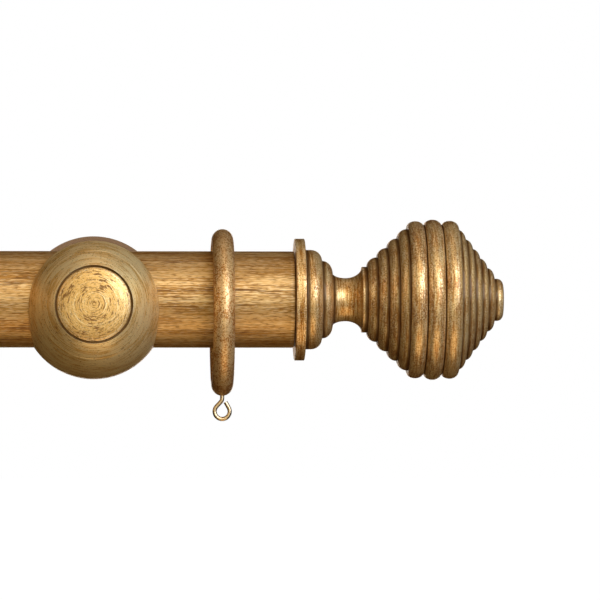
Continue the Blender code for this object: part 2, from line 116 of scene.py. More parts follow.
def add_camera():
    data = bpy.data.cameras.new("camera")
    data.sensor_width = 36
    data.lens = data.sensor_width * (AIM - EYE).length / VIEW_WIDTH
    camera = bpy.data.objects.new("camera", data)
    bpy.context.scene.collection.objects.link(camera)
    camera.location = EYE
    camera.rotation_euler = (AIM - EYE).to_track_quat("-Z", "Y").to_euler()
    bpy.context.scene.camera = camera
    return data


print("lens:", round(add_camera().lens), "mm")


# %% Add a node, and do sums with its output
class Output:
    """The first output of a node; [name] gives another one. Each sum with it adds a Math node to its tree."""

    def __init__(self, node, key=0):
        self.node = node
        self.key = key

    def __getitem__(self, key):
        return Output(self.node, key)

    def op(self, operation, other=0.0):
        return add_node(self.node.id_data, "ShaderNodeMath", {0: self, 1: other}, operation=operation)

    def __add__(self, other):
        return self.op("ADD", other)

    def __sub__(self, other):
        return self.op("SUBTRACT", other)

    def __rsub__(self, other):
        return add_node(self.node.id_data, "ShaderNodeMath", {0: other, 1: self}, operation="SUBTRACT")

    def __mul__(self, other):
        return self.op("MULTIPLY", other)

    def __truediv__(self, other):
        return self.op("DIVIDE", other)


def add_node(tree, kind, inputs=(), **settings):
    """Adds a node; inputs maps a socket's name or number to a value, or to the output that feeds it."""
    node = tree.nodes.new(kind)
    for name, value in settings.items():
        setattr(node, name, value)
    for key, value in dict(inputs).items():
        if isinstance(value, Output):
            tree.links.new(value.node.outputs[value.key], node.inputs[key])
        else:
            node.inputs[key].default_value = value
    return Output(node)


# %% A helper that reads sRGB colours
def linear(code, alpha=True):
    """Turns a colour such as "#C08F4C" into the linear values that a shader works with."""
    values = []
    for start in (1, 3, 5):
        share = int(code[start:start + 2], 16) / 255
        values.append(share / 12.92 if share <= 0.04045 else ((share + 0.055) / 1.055) ** 2.4)
    return (*values, 1.0) if alpha else tuple(values)


# %% The room's own light
ROOM_FRONT = "#2E2A26"     # the studio in front of and above the piece
ROOM_BELOW = "#15110D"     # the unlit side under it
ROOM_BEHIND = "#15110D"    # the dark side behind it, which the lacquer mirrors at its edges
RISE = (-0.5, 0.3)         # steepness of a direction where below ends, and where the front is full
TURN = (0.35, 0.8)         # how far back a direction points where the front ends, and where behind is full


def add_room():
    world = bpy.data.worlds.new("studio")
    bpy.context.scene.world = world
    world.use_nodes = True
    tree = world.node_tree
    tree.nodes.clear()
    axes = add_node(tree, "ShaderNodeSeparateXYZ", {0: add_node(tree, "ShaderNodeTexCoord")["Generated"]})
    height = add_node(tree, "ShaderNodeMapRange", {0: axes["Z"], 1: RISE[0], 2: RISE[1]})
    behind = add_node(tree, "ShaderNodeMapRange", {0: axes["Y"], 1: TURN[0], 2: TURN[1]})
    # In a Mix of colours, socket 0 is the share, 6 and 7 are the two colours, and 2 is the blend
    front = add_node(tree, "ShaderNodeMix", {
        0: height, 6: linear(ROOM_BELOW), 7: linear(ROOM_FRONT)}, data_type="RGBA")[2]
    colour = add_node(tree, "ShaderNodeMix", {
        0: behind, 6: front, 7: linear(ROOM_BEHIND)}, data_type="RGBA")[2]
    lighting = add_node(tree, "ShaderNodeBackground", {0: colour, 1: 1.0})
    paper = add_node(tree, "ShaderNodeBackground", {0: (1, 1, 1, 1), 1: 1.0})
    seen = add_node(tree, "ShaderNodeLightPath")["Is Camera Ray"]
    mix = add_node(tree, "ShaderNodeMixShader", {0: seen, 1: lighting, 2: paper})
    add_node(tree, "ShaderNodeOutputWorld", {0: mix})


add_room()
bpy.context.scene.view_settings.view_transform = "Standard"


# %% Soft boxes
LIGHTS = {
    # name: (degrees to the right of the front, degrees up, width in metres, watts, colour)
    "key": (33, 21, 1.2, 24.0, "#EEF2FF"),
    "right": (85, 20, 1.0, 2.4, "#FFF0C0"),
    "front": (-4, 4, 1.4, 7.2, "#FFF1C8"),
    "above": (5, 44, 1.2, 6.8, "#FFE3B0"),
    "top": (0, 88, 1.0, 1.8, "#FFD098"),
    "left": (-60, 20, 1.0, 3.8, "#FFD29C"),
    "bounce": (10, -66, 1.5, 10.0, "#FFD69C"),
    "back": (177, 2, 0.6, 2.5, "#FFEFDC"),
    "back fill": (177, 12, 1.6, 7.0, "#FFEFDC"),
}
NOT_MIRRORED = "back fill"    # the lacquer would show it as a pale line round every edge
LIGHT_DISTANCE = 1.7
SUBJECT = Vector((0.08, POLE_AXIS.y, 0))


def add_light(name, bearing, height, width, watts, colour):
    data = bpy.data.lights.new(name, "AREA")
    data.shape = "SQUARE"
    data.size = width
    data.energy = watts
    data.color = linear(colour, alpha=False)
    light = bpy.data.objects.new(name, data)
    light.visible_glossy = name != NOT_MIRRORED
    bpy.context.scene.collection.objects.link(light)
    bearing, height = math.radians(bearing), math.radians(height)
    flat = math.cos(height)
    away = Vector((math.sin(bearing) * flat, -math.cos(bearing) * flat, math.sin(height)))
    light.location = SUBJECT + away * LIGHT_DISTANCE
    light.rotation_euler = (-away).to_track_quat("-Z", "Y").to_euler()


for name, values in LIGHTS.items():
    add_light(name, *values)
print("soft boxes:", ", ".join(LIGHTS))

# %% Small steps with meshes
def show(name, mesh):
    obj = bpy.data.objects.new(name, mesh)
    bpy.context.scene.collection.objects.link(obj)
    return obj


def poured(shape, mesh):
    """Writes the edited shape into the mesh and lets the shape go."""
    shape.to_mesh(mesh)
    shape.free()
    return mesh


# %% The paper floor
FLOOR_BELOW = 0.35
FLOOR_WIDTH = 60.0


def add_floor():
    shape = bmesh.new()
    bmesh.ops.create_grid(shape, x_segments=1, y_segments=1, size=FLOOR_WIDTH / 2)
    mesh = poured(shape, bpy.data.meshes.new("paper_floor"))
    floor = show("paper_floor", mesh)
    floor.location.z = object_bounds()[0].z - FLOOR_BELOW
    material = bpy.data.materials.new("white_paper")
    material.use_nodes = True
    shader = material.node_tree.nodes["Principled BSDF"]
    shader.inputs["Base Color"].default_value = linear("#F4F3F1")
    shader.inputs["Roughness"].default_value = 0.9
    shader.inputs["Emission Color"].default_value = (1, 1, 1, 1)
    shader.inputs["Emission Strength"].default_value = 1.0
    mesh.materials.append(material)
    floor.visible_diffuse = False
    floor.visible_glossy = False
    floor.visible_shadow = False


add_floor()


# %% [markdown]
# ## Outlines
#
# A turner works to a template: half of the piece's outline, drawn against the axis. Here an outline is a list
# of (radius, height) points. Round stretches are arcs, corners are eased as sandpaper leaves them, and long
# stretches are divided so that the mesh is fine enough to carry tool marks.

# %% Outline tools
CORNER = math.radians(22)    # a turn sharper than this is a corner
EASE_FACETS = 4
EASE_SHARE = 0.45            # of each neighbouring stretch, which a corner's curve may take up at most
REPEAT = 0.02 * MM           # points as close as this are one


def arc(centre, size, start, end, count):
    """Points on an ellipse about centre, between two angles in degrees; 0 is outwards and 90 is up."""
    points = []
    for i in range(count + 1):
        angle = math.radians(start + (end - start) * i / count)
        points.append((centre[0] + size[0] * math.cos(angle), centre[1] + size[1] * math.sin(angle)))
    return points


def without_repeats(path, apart):
    """Drops each point that is no further than apart from the one before it."""
    kept = [Vector(path[0])]
    for point in path[1:]:
        if (Vector(point) - kept[-1]).length > apart:
            kept.append(Vector(point))
    return kept


def bend(start, corner, end, count):
    """A small curve from start to end that leans towards the corner."""
    shares = [i / count for i in range(count + 1)]
    return [start.lerp(corner, share).lerp(corner.lerp(end, share), share) for share in shares]


def eased(outline, ease):
    """Replaces each corner by a small curve that starts and ends at most ease from it."""
    outline = without_repeats(outline, REPEAT)
    soft = [outline[0]]
    for before, corner, after in zip(outline, outline[1:], outline[2:]):
        inward = corner - before
        onward = after - corner
        if inward.angle(onward) < CORNER:
            soft.append(corner)
            continue
        start = corner - inward.normalized() * min(ease, inward.length * EASE_SHARE)
        end = corner + onward.normalized() * min(ease, onward.length * EASE_SHARE)
        soft += bend(start, corner, end, EASE_FACETS)
    return soft + [outline[-1]]


def divided(outline, spacing):
    """Adds points so that no two neighbours are further apart than spacing."""
    fine = [outline[0]]
    for start, end in zip(outline, outline[1:]):
        count = max(1, math.ceil((end - start).length / spacing))
        for i in range(count):
            fine.append(start.lerp(end, (i + 1) / count))
    return fine


# %% [markdown]
# ### What an outline knows about itself
#
# Gilding ages by height: glaze settles in the hollows and hands rub the crests bright. Here the same marks
# also paint the shade that falls in the hollows and a highlight on the crests. So each point of an outline
# carries its relief, which is how far it stands above the middle of its two neighbours a little way off, and
# how near it is to the foot of a deep corner, where the dark glaze and the painted shade collect. Each also
# carries its distance along the outline, so that turning marks can follow the surface.

# %% Measure an outline
RELIEF_REACH = 1.6 * MM
DEEP_RELIEF = -0.5 * MM     # as low as this is the foot of a corner
GLAZE_AND_SHADE_REACH = 1.9 * MM       # and the dark glaze, with the painted shade it stands for, creeps this far up from it
ATTRIBUTES = ("along", "relief", "glaze_and_shade", "out_radius", "out_height")


def place_at(outline, lengths, along):
    """The point at this distance along the outline."""
    if along <= 0:
        return outline[0]
    for i in range(1, len(outline)):
        if lengths[i] >= along:
            step = lengths[i] - lengths[i - 1]
            return outline[i - 1].lerp(outline[i], (along - lengths[i - 1]) / step)
    return outline[-1]


def measured(outline):
    """The outline's own numbers for each point, under the names in ATTRIBUTES."""
    lengths = [0.0]
    for start, end in zip(outline, outline[1:]):
        lengths.append(lengths[-1] + (end - start).length)
    rows = {name: [] for name in ATTRIBUTES}
    for i, point in enumerate(outline):
        before = outline[max(i - 1, 0)]
        after = outline[min(i + 1, len(outline) - 1)]
        forward = (after - before).normalized()
        out = Vector((-forward.y, forward.x))
        near = place_at(outline, lengths, lengths[i] - RELIEF_REACH)
        far = place_at(outline, lengths, min(lengths[i] + RELIEF_REACH, lengths[-1]))
        rows["along"].append(lengths[i])
        rows["relief"].append((point - (near + far) / 2).dot(out))
        rows["out_radius"].append(out.x)
        rows["out_height"].append(out.y)
    # Closeness to a deep corner, which places the dark glaze and the painted shade in the hollows
    corners = [spot for spot, relief in zip(lengths, rows["relief"]) if relief < DEEP_RELIEF]
    for spot in lengths:
        distance = min((abs(spot - corner) for corner in corners), default=GLAZE_AND_SHADE_REACH)
        rows["glaze_and_shade"].append(max(0.0, 1 - distance / GLAZE_AND_SHADE_REACH))
    return rows


# %% A lathe blank: the outline as an object
def blank(name, outline, spacing, ease):
    """The outline runs from one end of the axis to the other with the wood on its right-hand side."""
    fine = divided(eased(outline, ease), spacing)
    mesh = bpy.data.meshes.new(name)
    edges = [(i, i + 1) for i in range(len(fine) - 1)]
    mesh.from_pydata([(point.x, 0, point.y) for point in fine], edges, [])
    for attribute, values in measured(fine).items():
        mesh.attributes.new(attribute, "FLOAT", "POINT").data.foreach_set("value", values)
    return show(name, mesh)


# %% [markdown]
# ## The lathe, as a Geometry Nodes tree
#
# A Screw modifier could turn the outline, but it would give a perfect and lifeless form. This tree lays out a
# grid with one row for each point of the outline and one column for each step of the turn, bends it round the
# axis, and lifts it by a fine noise stretched along the cut. What comes out has the tool's own shallow marks,
# a little coarser than a sharp gouge leaves them so that they show, and is very slightly out of true, as any
# wooden piece is once it has dried. The tree also stores where each point lies on the turned surface, which
# the gilding reads later.

# %% Sockets of the lathe
LATHE_SOCKETS = {
    "Steps": ("Int", 160),
    "Mark depth": ("Float", 0.03 * MM),
    "Mark pitch": ("Float", 0.9 * MM),
    "Mark length": ("Float", 30 * MM),
    "Out of true": ("Float", 0.05 * MM),
    "Timber": ("Float", 0.0),
    "Finish": ("Material", None),
}


def new_tree(name, sockets):
    """A tree with these inputs, and its group input."""
    tree = bpy.data.node_groups.new(name, "GeometryNodeTree")
    tree.interface.new_socket(name="Geometry", in_out="INPUT", socket_type="NodeSocketGeometry")
    for label, (kind, default) in sockets.items():
        socket = tree.interface.new_socket(name=label, in_out="INPUT", socket_type=f"NodeSocket{kind}")
        if default is not None:
            socket.default_value = default
    tree.interface.new_socket(name="Geometry", in_out="OUTPUT", socket_type="NodeSocketGeometry")
    return tree, add_node(tree, "NodeGroupInput")


def end_tree(tree, geometry, material):
    real = add_node(tree, "GeometryNodeRealizeInstances", {0: geometry})
    finished = add_node(tree, "GeometryNodeSetMaterial", {0: real, "Material": material})
    add_node(tree, "NodeGroupOutput", {0: finished})
    return tree


# %% Build the lathe
WELD = 0.005 * MM
TIMBER_STEP = 0.37         # metres along the noise from one piece's timber to the next one's
WARP_LENGTH = 40 * MM      # size of the waves by which a piece is out of true
NOISE_REACH = 0.35         # the noise stays within this share either way, so an inset of it never adds size


def lathe_tree():
    tree, given = new_tree("lathe", LATHE_SOCKETS)
    rows = add_node(tree, "GeometryNodeAttributeDomainSize", {0: given["Geometry"]})["Point Count"]
    columns = given["Steps"] + 1
    grid = add_node(tree, "GeometryNodeMeshGrid", {"Vertices X": rows, "Vertices Y": columns})["Mesh"]
    index = add_node(tree, "GeometryNodeInputIndex")
    row = ((index + 0.5) / columns).op("FLOOR")
    turn = (index - row * columns) / given["Steps"] * math.tau

    def sample(value, kind):
        inputs = {0: given["Geometry"], 1: value, 2: row}
        return add_node(tree, "GeometryNodeSampleIndex", inputs, data_type=kind)

    def read(name):
        value = add_node(tree, "GeometryNodeInputNamedAttribute", {0: name}, data_type="FLOAT")
        return sample(value, "FLOAT")

    spot = sample(add_node(tree, "GeometryNodeInputPosition"), "FLOAT_VECTOR")
    spot = add_node(tree, "ShaderNodeSeparateXYZ", {0: spot})
    east = turn.op("COSINE")
    north = turn.op("SINE")
    across = spot["X"] * east
    over = spot["X"] * north
    along = read("along") + given["Timber"] * TIMBER_STEP

    def noise(length, pitch, detail):
        place = add_node(tree, "ShaderNodeCombineXYZ", {
            0: across / length, 1: over / length, 2: along / pitch})
        return add_node(tree, "ShaderNodeTexNoise", {"Vector": place, "Scale": 1.0, "Detail": detail}) - 0.5

    marks = noise(given["Mark length"], given["Mark pitch"], 2.0) * given["Mark depth"]
    warp = noise(WARP_LENGTH, WARP_LENGTH, 0.0) * given["Out of true"]
    inset = (given["Mark depth"] + given["Out of true"]) * NOISE_REACH
    lift = marks + warp - inset
    radius = (lift * read("out_radius") + spot["X"]) * spot["X"].op("GREATER_THAN", WELD)
    height = lift * read("out_height") + spot["Z"]
    surface = add_node(tree, "ShaderNodeCombineXYZ", {0: across, 1: over, 2: along})
    shape = add_node(tree, "GeometryNodeStoreNamedAttribute", {
        0: grid, "Name": "turned", "Value": surface}, data_type="FLOAT_VECTOR", domain="POINT")
    # The corner closeness carries the dark glaze and the painted shade on to the gilding
    for name in ("relief", "glaze_and_shade"):
        shape = add_node(tree, "GeometryNodeStoreNamedAttribute", {
            0: shape, "Name": name, "Value": read(name)}, data_type="FLOAT", domain="POINT")
    bent = add_node(tree, "ShaderNodeCombineXYZ", {0: radius * east, 1: radius * north, 2: height})
    shape = add_node(tree, "GeometryNodeSetPosition", {0: shape, "Position": bent})
    shape = add_node(tree, "GeometryNodeMergeByDistance", {0: shape, "Distance": WELD})
    return end_tree(tree, shape, given["Finish"])


LATHE = lathe_tree()
print("the lathe has", len(LATHE.nodes), "nodes")


# %% Run a tree and keep its result
def settled(obj):
    """A plain mesh of what the object's modifiers make of it; the object itself goes."""
    bpy.context.view_layer.update()
    mesh = bpy.data.meshes.new_from_object(obj.evaluated_get(bpy.context.evaluated_depsgraph_get()))
    bpy.data.objects.remove(obj, do_unlink=True)
    return mesh


def run_tree(obj, tree, **values):
    """Uses the object up in the tree; Mark_depth sets the socket Mark depth, and so on."""
    modifier = obj.modifiers.new(tree.name, "NODES")
    modifier.node_group = tree
    for item in tree.interface.items_tree:
        label = item.name.replace(" ", "_")
        if item.in_out == "INPUT" and label in values:
            modifier[item.identifier] = values[label]
    mesh = settled(obj)
    if "Finish" in values:
        coat(mesh, values["Finish"])
    return mesh


def coat(mesh, *finishes):
    """Gives the mesh these material slots and puts every face in the last one."""
    mesh.materials.clear()
    for finish in finishes:
        mesh.materials.append(finish)
    mesh.polygons.foreach_set("material_index", [len(finishes) - 1] * len(mesh.polygons))


# %% Close a mesh and turn its faces outwards
SMOOTH_BELOW = math.radians(40)


def tidied(mesh):
    shape = bmesh.new()
    shape.from_mesh(mesh)
    bmesh.ops.remove_doubles(shape, verts=shape.verts, dist=WELD)
    bmesh.ops.recalc_face_normals(shape, faces=shape.faces)
    poured(shape, mesh)
    mesh.shade_smooth()
    mesh.set_sharp_from_angle(angle=SMOOTH_BELOW)
    return mesh


def turned_mesh(name, outline, spacing, ease, place, **values):
    """Turns an outline and puts the result at its place."""
    mesh = tidied(run_tree(blank(name, outline, spacing, ease), LATHE, **values))
    mesh.name = name
    mesh.transform(place)
    return mesh


def from_wall(side):
    """Puts height 0 on the wall at a bracket, with height running out into the room."""
    return Matrix.Translation((BRACKET_X[side], 0, 0)) @ Matrix.Rotation(math.radians(90), 4, "X")


# %% [markdown]
# ## Antique gilding
#
# The wood is stained brown, brushed with bronze powder in a clear medium, glazed with a thin dark wash and
# lacquered. The eye meets four things: a warm gold that breaks into fine streaks along the brush, the brown
# stain between the streaks, near-black glaze in every hollow, which also paints the shade that falls there,
# and one smooth gloss over all of it. Crests get a paler gold, partly rubbed wear and partly a painted
# highlight, and a cup's button is painted darker as shade. A single shader can hold all of it, because each
# is a mask on the same surface. The masks are noises stretched along the way each piece was worked, so the
# pole streaks lengthwise and the turned pieces streak round and round.

# %% Gilding colours
STAIN = "#582B0A"             # bare stained wood between the streaks
RUBBED_AND_HIGHLIGHT_GOLD = "#F4E3BA"       # rubbed streaks, and crests that a cloth has polished, which are also painted paler as a highlight
SHEEN = "#E8BE78"             # the gloss of bronze powder, which stays golden even at a glancing angle
GLAZE_AND_SHADE_COVER = (0.0, 0.85)      # closeness to a corner where the dark glaze and its painted shade start, and where they are full
GLAZE_AND_SHADE_STRENGTH = 0.92
CREST = (0.06 * MM, 0.35 * MM)      # relief where rubbing and the painted highlight start, and where they are full
GOLD_COVER = (0.38, 0.58)     # thickness where the deep gold ends, and where the bright gold is full
CLOUD_ON_GOLD = 0.6           # how far the broad patches shift the gold, and the wear
CLOUD_ON_WEAR = 0.4
BUTTON_SHADE_ON_GOLD = 0.17            # a cup's button is painted darker than the rest as painted shade: deeper gold and more bare stain
BUTTON_SHADE_AS_STAIN = 0.11
RUBBING = (0.50, 0.62)
RUB_SHARE = 0.38              # rubbed streaks everywhere, then more of them on a crest, and a paler gold there as a painted highlight
RUB_AND_HIGHLIGHT_ON_CREST = 0.35
HIGHLIGHT_ON_CREST = 0.16
WEAR_EDGE = 0.06              # how softly a streak or a speck of stain ends
SPECK_EDGE = 0.08
SPECK_STRENGTH = 0.65
STAIN_STRENGTH = 0.8
SPECK_HEIGHT = 0.6            # against the height of a brush streak
WORN_DEPTH = 0.5
POWDER_METAL = 0.62           # bronze powder in a medium is only partly metal to the eye
BARE_ROUGHNESS = 0.12         # added where the powder is gone
LACQUER = {"Coat Weight": 0.32, "Coat Roughness": 0.22, "Coat IOR": 1.5}

# Patch sizes in mm: two ways across the axis, then along the outline. The finest are a little coarser than
# bristles and bronze powder leave them, so that they show.
# In each look, the colour for the corners is that of the dark glaze, which also paints the shade there; the
# button radius marks a cup's button, which is painted darker as shade.
FINISHES = {
    "gilt_beech_cup": {
        "brush": (15.0, 15.0, 0.70), "dash": (3.4, 3.4, 0.60), "speck": (0.8, 0.8, 0.6),
        "cloud": (16.0, 16.0, 6.0), "dash_share": 0.34, "speck_share": 0.33, "bump": 0.035,
        "gold": "#FBE4AC", "deep_gold": "#DEB66E", "rough": 0.44,
        "glaze_and_shade": "#6B4A24", "button": 19.0},
    "gilt_beech_finial": {
        "brush": (9.0, 9.0, 0.65), "dash": (1.5, 1.5, 0.55), "speck": (0.62, 0.62, 0.58),
        "cloud": (18.0, 18.0, 12.0), "dash_share": 0.39, "speck_share": 0.39, "bump": 0.022,
        "gold": "#DAB678", "deep_gold": "#AE7A38", "rough": 0.36,
        "glaze_and_shade": "#3A1F09", "button": 0.0},
    "gilt_ash_pole": {
        "brush": (0.45, 0.45, 55.0), "dash": (0.34, 0.34, 13.0), "speck": (0.45, 0.45, 3.0),
        "cloud": (6.0, 6.0, 80.0), "dash_share": 0.45, "speck_share": 0.38, "bump": 0.030,
        "gold": "#D2AE74", "deep_gold": "#B18343", "rough": 0.45,
        "glaze_and_shade": "#3A2210", "button": 0.0},
    "gilt_beech_ring": {
        "brush": (1.1, 1.1, 1.1), "dash": (0.7, 0.7, 0.7), "speck": (0.55, 0.55, 0.55),
        "cloud": (10.0, 10.0, 10.0), "dash_share": 0.38, "speck_share": 0.37, "bump": 0.024,
        "gold": "#DEBA84", "deep_gold": "#B27C42", "rough": 0.42,
        "glaze_and_shade": "#3A2210", "button": 0.0},
}


# %% Shader helpers
# A Map Range with this setting gives 0 below its low end, 1 above its high end, and a smooth step between
SMOOTH = {"interpolation_type": "SMOOTHSTEP"}
FINER_SHARE = 0.6    # the strength of each finer layer of a noise against the one before


def new_material(name):
    material = bpy.data.materials.new(name)
    material.use_nodes = True
    material.node_tree.nodes.clear()
    return material, material.node_tree


def patches(tree, where, size, detail):
    """A noise whose patches have this size in mm along X, Y and Z."""
    times = [1 / (length * MM) for length in size]
    scaled = add_node(tree, "ShaderNodeVectorMath", {0: where, 1: times}, operation="MULTIPLY")
    return add_node(tree, "ShaderNodeTexNoise", {
        "Vector": scaled, "Scale": 1.0, "Detail": detail, "Roughness": FINER_SHARE})


def end_material(tree, inputs):
    add_node(tree, "ShaderNodeOutputMaterial", {0: add_node(tree, "ShaderNodeBsdfPrincipled", inputs)})


# %% Gold and rubbed gold
def gold_colour(tree, look, brush, speck, cloud, button):
    relief = add_node(tree, "ShaderNodeAttribute", attribute_name="relief")["Fac"]
    crest = add_node(tree, "ShaderNodeMapRange", {0: relief, 1: CREST[0], 2: CREST[1]}, **SMOOTH)
    # A cup's button gets deeper gold, as painted shade
    cover = brush + (cloud - 0.5) * CLOUD_ON_GOLD - button * BUTTON_SHADE_ON_GOLD
    bright = add_node(tree, "ShaderNodeMapRange", {0: cover, 1: GOLD_COVER[0], 2: GOLD_COVER[1]}, **SMOOTH)
    gold = add_node(tree, "ShaderNodeMix", {
        0: bright, 6: linear(look["deep_gold"]), 7: linear(look["gold"])}, data_type="RGBA")[2]
    grit = brush * 0.5 + speck * 0.5
    streaks = add_node(tree, "ShaderNodeMapRange", {0: grit, 1: RUBBING[0], 2: RUBBING[1]}, **SMOOTH)
    # Crests get more rubbed streaks and a paler gold: rubbed wear, and a painted highlight
    rubbed_and_highlight = streaks * (crest * RUB_AND_HIGHLIGHT_ON_CREST + RUB_SHARE) + crest * HIGHLIGHT_ON_CREST
    return add_node(tree, "ShaderNodeMix", {0: rubbed_and_highlight, 6: gold, 7: linear(RUBBED_AND_HIGHLIGHT_GOLD)}, data_type="RGBA")[2]


# %% Where the gold has gone
def worn_share(tree, look, dash, speck, cloud, button):
    # A cup's button shows more bare stain, as painted shade
    wear = 1.0 - (dash + (cloud - 0.5) * CLOUD_ON_WEAR) + button * BUTTON_SHADE_AS_STAIN
    bare_from = 1 - look["dash_share"]
    bare = add_node(tree, "ShaderNodeMapRange", {0: wear, 1: bare_from, 2: bare_from + WEAR_EDGE}, **SMOOTH)
    specks_from = 1 - look["speck_share"]
    specks = add_node(tree, "ShaderNodeMapRange", {
        0: 1.0 - speck, 1: specks_from, 2: specks_from + SPECK_EDGE}, **SMOOTH)
    return bare.op("MAXIMUM", specks * SPECK_STRENGTH) * STAIN_STRENGTH


# %% The gilding itself
def gilding(name, look):
    material, tree = new_material(name)
    where = add_node(tree, "ShaderNodeAttribute", attribute_name="turned")["Vector"]
    brush = patches(tree, where, look["brush"], 3.0)
    dash = patches(tree, where, look["dash"], 2.0)
    speck = patches(tree, where, look["speck"], 0.0)
    cloud = patches(tree, where, look["cloud"], 2.0)
    axes = add_node(tree, "ShaderNodeSeparateXYZ", {0: where})
    from_axis = (axes["X"] * axes["X"] + axes["Y"] * axes["Y"]).op("SQRT")
    # A cup's button, which the gilding paints darker as shade
    button = from_axis.op("LESS_THAN", look["button"] * MM)
    gold = gold_colour(tree, look, brush, speck, cloud, button)
    worn = worn_share(tree, look, dash, speck, cloud, button)
    # Dark glaze in the corners, which also paints the shade that falls there
    corner = add_node(tree, "ShaderNodeAttribute", attribute_name="glaze_and_shade")["Fac"]
    glaze_and_shade = add_node(tree, "ShaderNodeMapRange", {0: corner, 1: GLAZE_AND_SHADE_COVER[0], 2: GLAZE_AND_SHADE_COVER[1]}, **SMOOTH)
    glaze_and_shade = glaze_and_shade * GLAZE_AND_SHADE_STRENGTH
    colour = add_node(tree, "ShaderNodeMix", {0: worn, 6: gold, 7: linear(STAIN)}, data_type="RGBA")[2]
    colour = add_node(tree, "ShaderNodeMix", {
        0: glaze_and_shade, 6: colour, 7: linear(look["glaze_and_shade"])}, data_type="RGBA")[2]
    bare = worn.op("MAXIMUM", glaze_and_shade)
    bump = add_node(tree, "ShaderNodeBump", {
        "Height": brush + speck * SPECK_HEIGHT - worn * WORN_DEPTH, "Distance": look["bump"] * MM})
    end_material(tree, {
        "Base Color": colour, "Metallic": (1.0 - bare) * POWDER_METAL, "Normal": bump,
        "Roughness": bare * BARE_ROUGHNESS + look["rough"], "Specular Tint": linear(SHEEN), **LACQUER})
    return material


GILT = {name: gilding(name, look) for name, look in FINISHES.items()}
print("gilded finishes:", ", ".join(GILT))


# %% Sawn beech
SAWN_GRAIN = "#6B5136"
SAWN_GROUND = "#9A7E5F"
SAWN_SHARE = (0.35, 0.65)    # noise where the ground starts to show between the grain, and where it is full
SAWN_FUR = 0.06 * MM


def sawn_beech():
    """The saw cut in a cup gets only thinned wash, so it stays grey-tan, dull and a little furry."""
    material, tree = new_material("sawn_beech_washed")
    where = add_node(tree, "ShaderNodeAttribute", attribute_name="turned")["Vector"]
    grain = patches(tree, where, (0.8, 6.0, 6.0), 4.0)
    pale = add_node(tree, "ShaderNodeMapRange", {0: grain, 1: SAWN_SHARE[0], 2: SAWN_SHARE[1]}, **SMOOTH)
    colour = add_node(tree, "ShaderNodeMix", {
        0: pale, 6: linear(SAWN_GRAIN), 7: linear(SAWN_GROUND)}, data_type="RGBA")[2]
    bump = add_node(tree, "ShaderNodeBump", {"Height": grain, "Distance": SAWN_FUR})
    end_material(tree, {"Base Color": colour, "Roughness": 0.72, "Normal": bump})
    return material


SAWN = sawn_beech()


# %% [markdown]
# ## The cups
#
# Each bracket ends in an egg-shaped cup, turned from one block with a small button on its nose, then sawn
# open along the top so that the pole can be laid in. It is an ellipse turned round the bracket's axis. A
# groove one millimetre wide rings the button. The pole's channel is cut last, and crosswise, as on the bench.

# %% Sizes of a cup
CUP_RADIUS = extent("cup_right").x / 2
CUP_BACK = -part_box("cup_right")[1].y
NOSE_LENGTH = 55.0 * MM
BUTTON_RADIUS = 18.9 * MM
BUTTON_DOME = 3.0 * MM
GROOVE_WIDTH = 1.0 * MM
GROOVE_DEPTH = 1.8 * MM
LIP_DROP = 0.9 * MM          # from the groove's outer lip to the button's edge
CUP_SHOULDER = 11.8 * MM
CUP_BACK_FLAT = 19.0 * MM
SPIGOT_RADIUS = 9.0 * MM
SPIGOT_LENGTH = 5.0 * MM
SCREW_RADIUS = 2.2 * MM
SCREW_HEAD = 4.5 * MM
HEAD_POCKET = 2.9 * MM       # depth of the countersink for the screw's head
CHANNEL_RADIUS = POLE_RADIUS + SEAT_GAP
CHANNEL_BACK = PROJECTION - CHANNEL_RADIUS
print("cup radius:", round(CUP_RADIUS / MM, 2), "mm")


# %% Outline of a cup
SCORE_RADIUS = 27.6 * MM
SCORE_DEPTH = 0.13 * MM
SCORE_HALF = 0.28 * MM


def scored(points):
    """Adds one shallow line that the turner cut round the nose."""
    for i, (radius, height) in enumerate(points):
        if radius > SCORE_RADIUS:
            break
    spot = Vector((radius, height))
    along = (Vector(points[i + 1]) - Vector(points[i - 1])).normalized() * SCORE_HALF
    inward = Vector((along.y, -along.x)).normalized() * SCORE_DEPTH
    return points[:i] + [spot - along, spot + inward, spot + along] + points[i + 1:]


def cup_outline():
    groove_outside = BUTTON_RADIUS + GROOVE_WIDTH
    lip_angle = math.degrees(math.acos(groove_outside / CUP_RADIUS))
    lip = PROJECTION + NOSE_LENGTH * math.sin(math.radians(lip_angle))
    base = lip - LIP_DROP
    outline = arc((0, base), (BUTTON_RADIUS, BUTTON_DOME), 90, 0, 30)
    outline += [(BUTTON_RADIUS, base - GROOVE_DEPTH), (groove_outside, base - GROOVE_DEPTH)]
    outline += scored(arc((0, PROJECTION), (CUP_RADIUS, NOSE_LENGTH), lip_angle, 0, 60))
    shoulder = (CUP_RADIUS - CUP_BACK_FLAT, CUP_SHOULDER)
    outline += arc((CUP_BACK_FLAT, CUP_BACK + CUP_SHOULDER), shoulder, 0, -90, 24)
    socket = SPIGOT_RADIUS + SEAT_GAP
    socket_end = CUP_BACK + SPIGOT_LENGTH + SEAT_GAP
    outline += [(socket, CUP_BACK), (socket, socket_end)]
    bore = SCREW_RADIUS + SEAT_GAP
    outline += [(bore, socket_end), (bore, CHANNEL_BACK - HEAD_POCKET)]
    head = SCREW_HEAD + SEAT_GAP
    outline += [(head, CHANNEL_BACK - SEAT_GAP), (head, CHANNEL_BACK + MM), (0, CHANNEL_BACK + MM)]
    return outline


# %% The pole's channel
CHANNEL_FACETS = 64


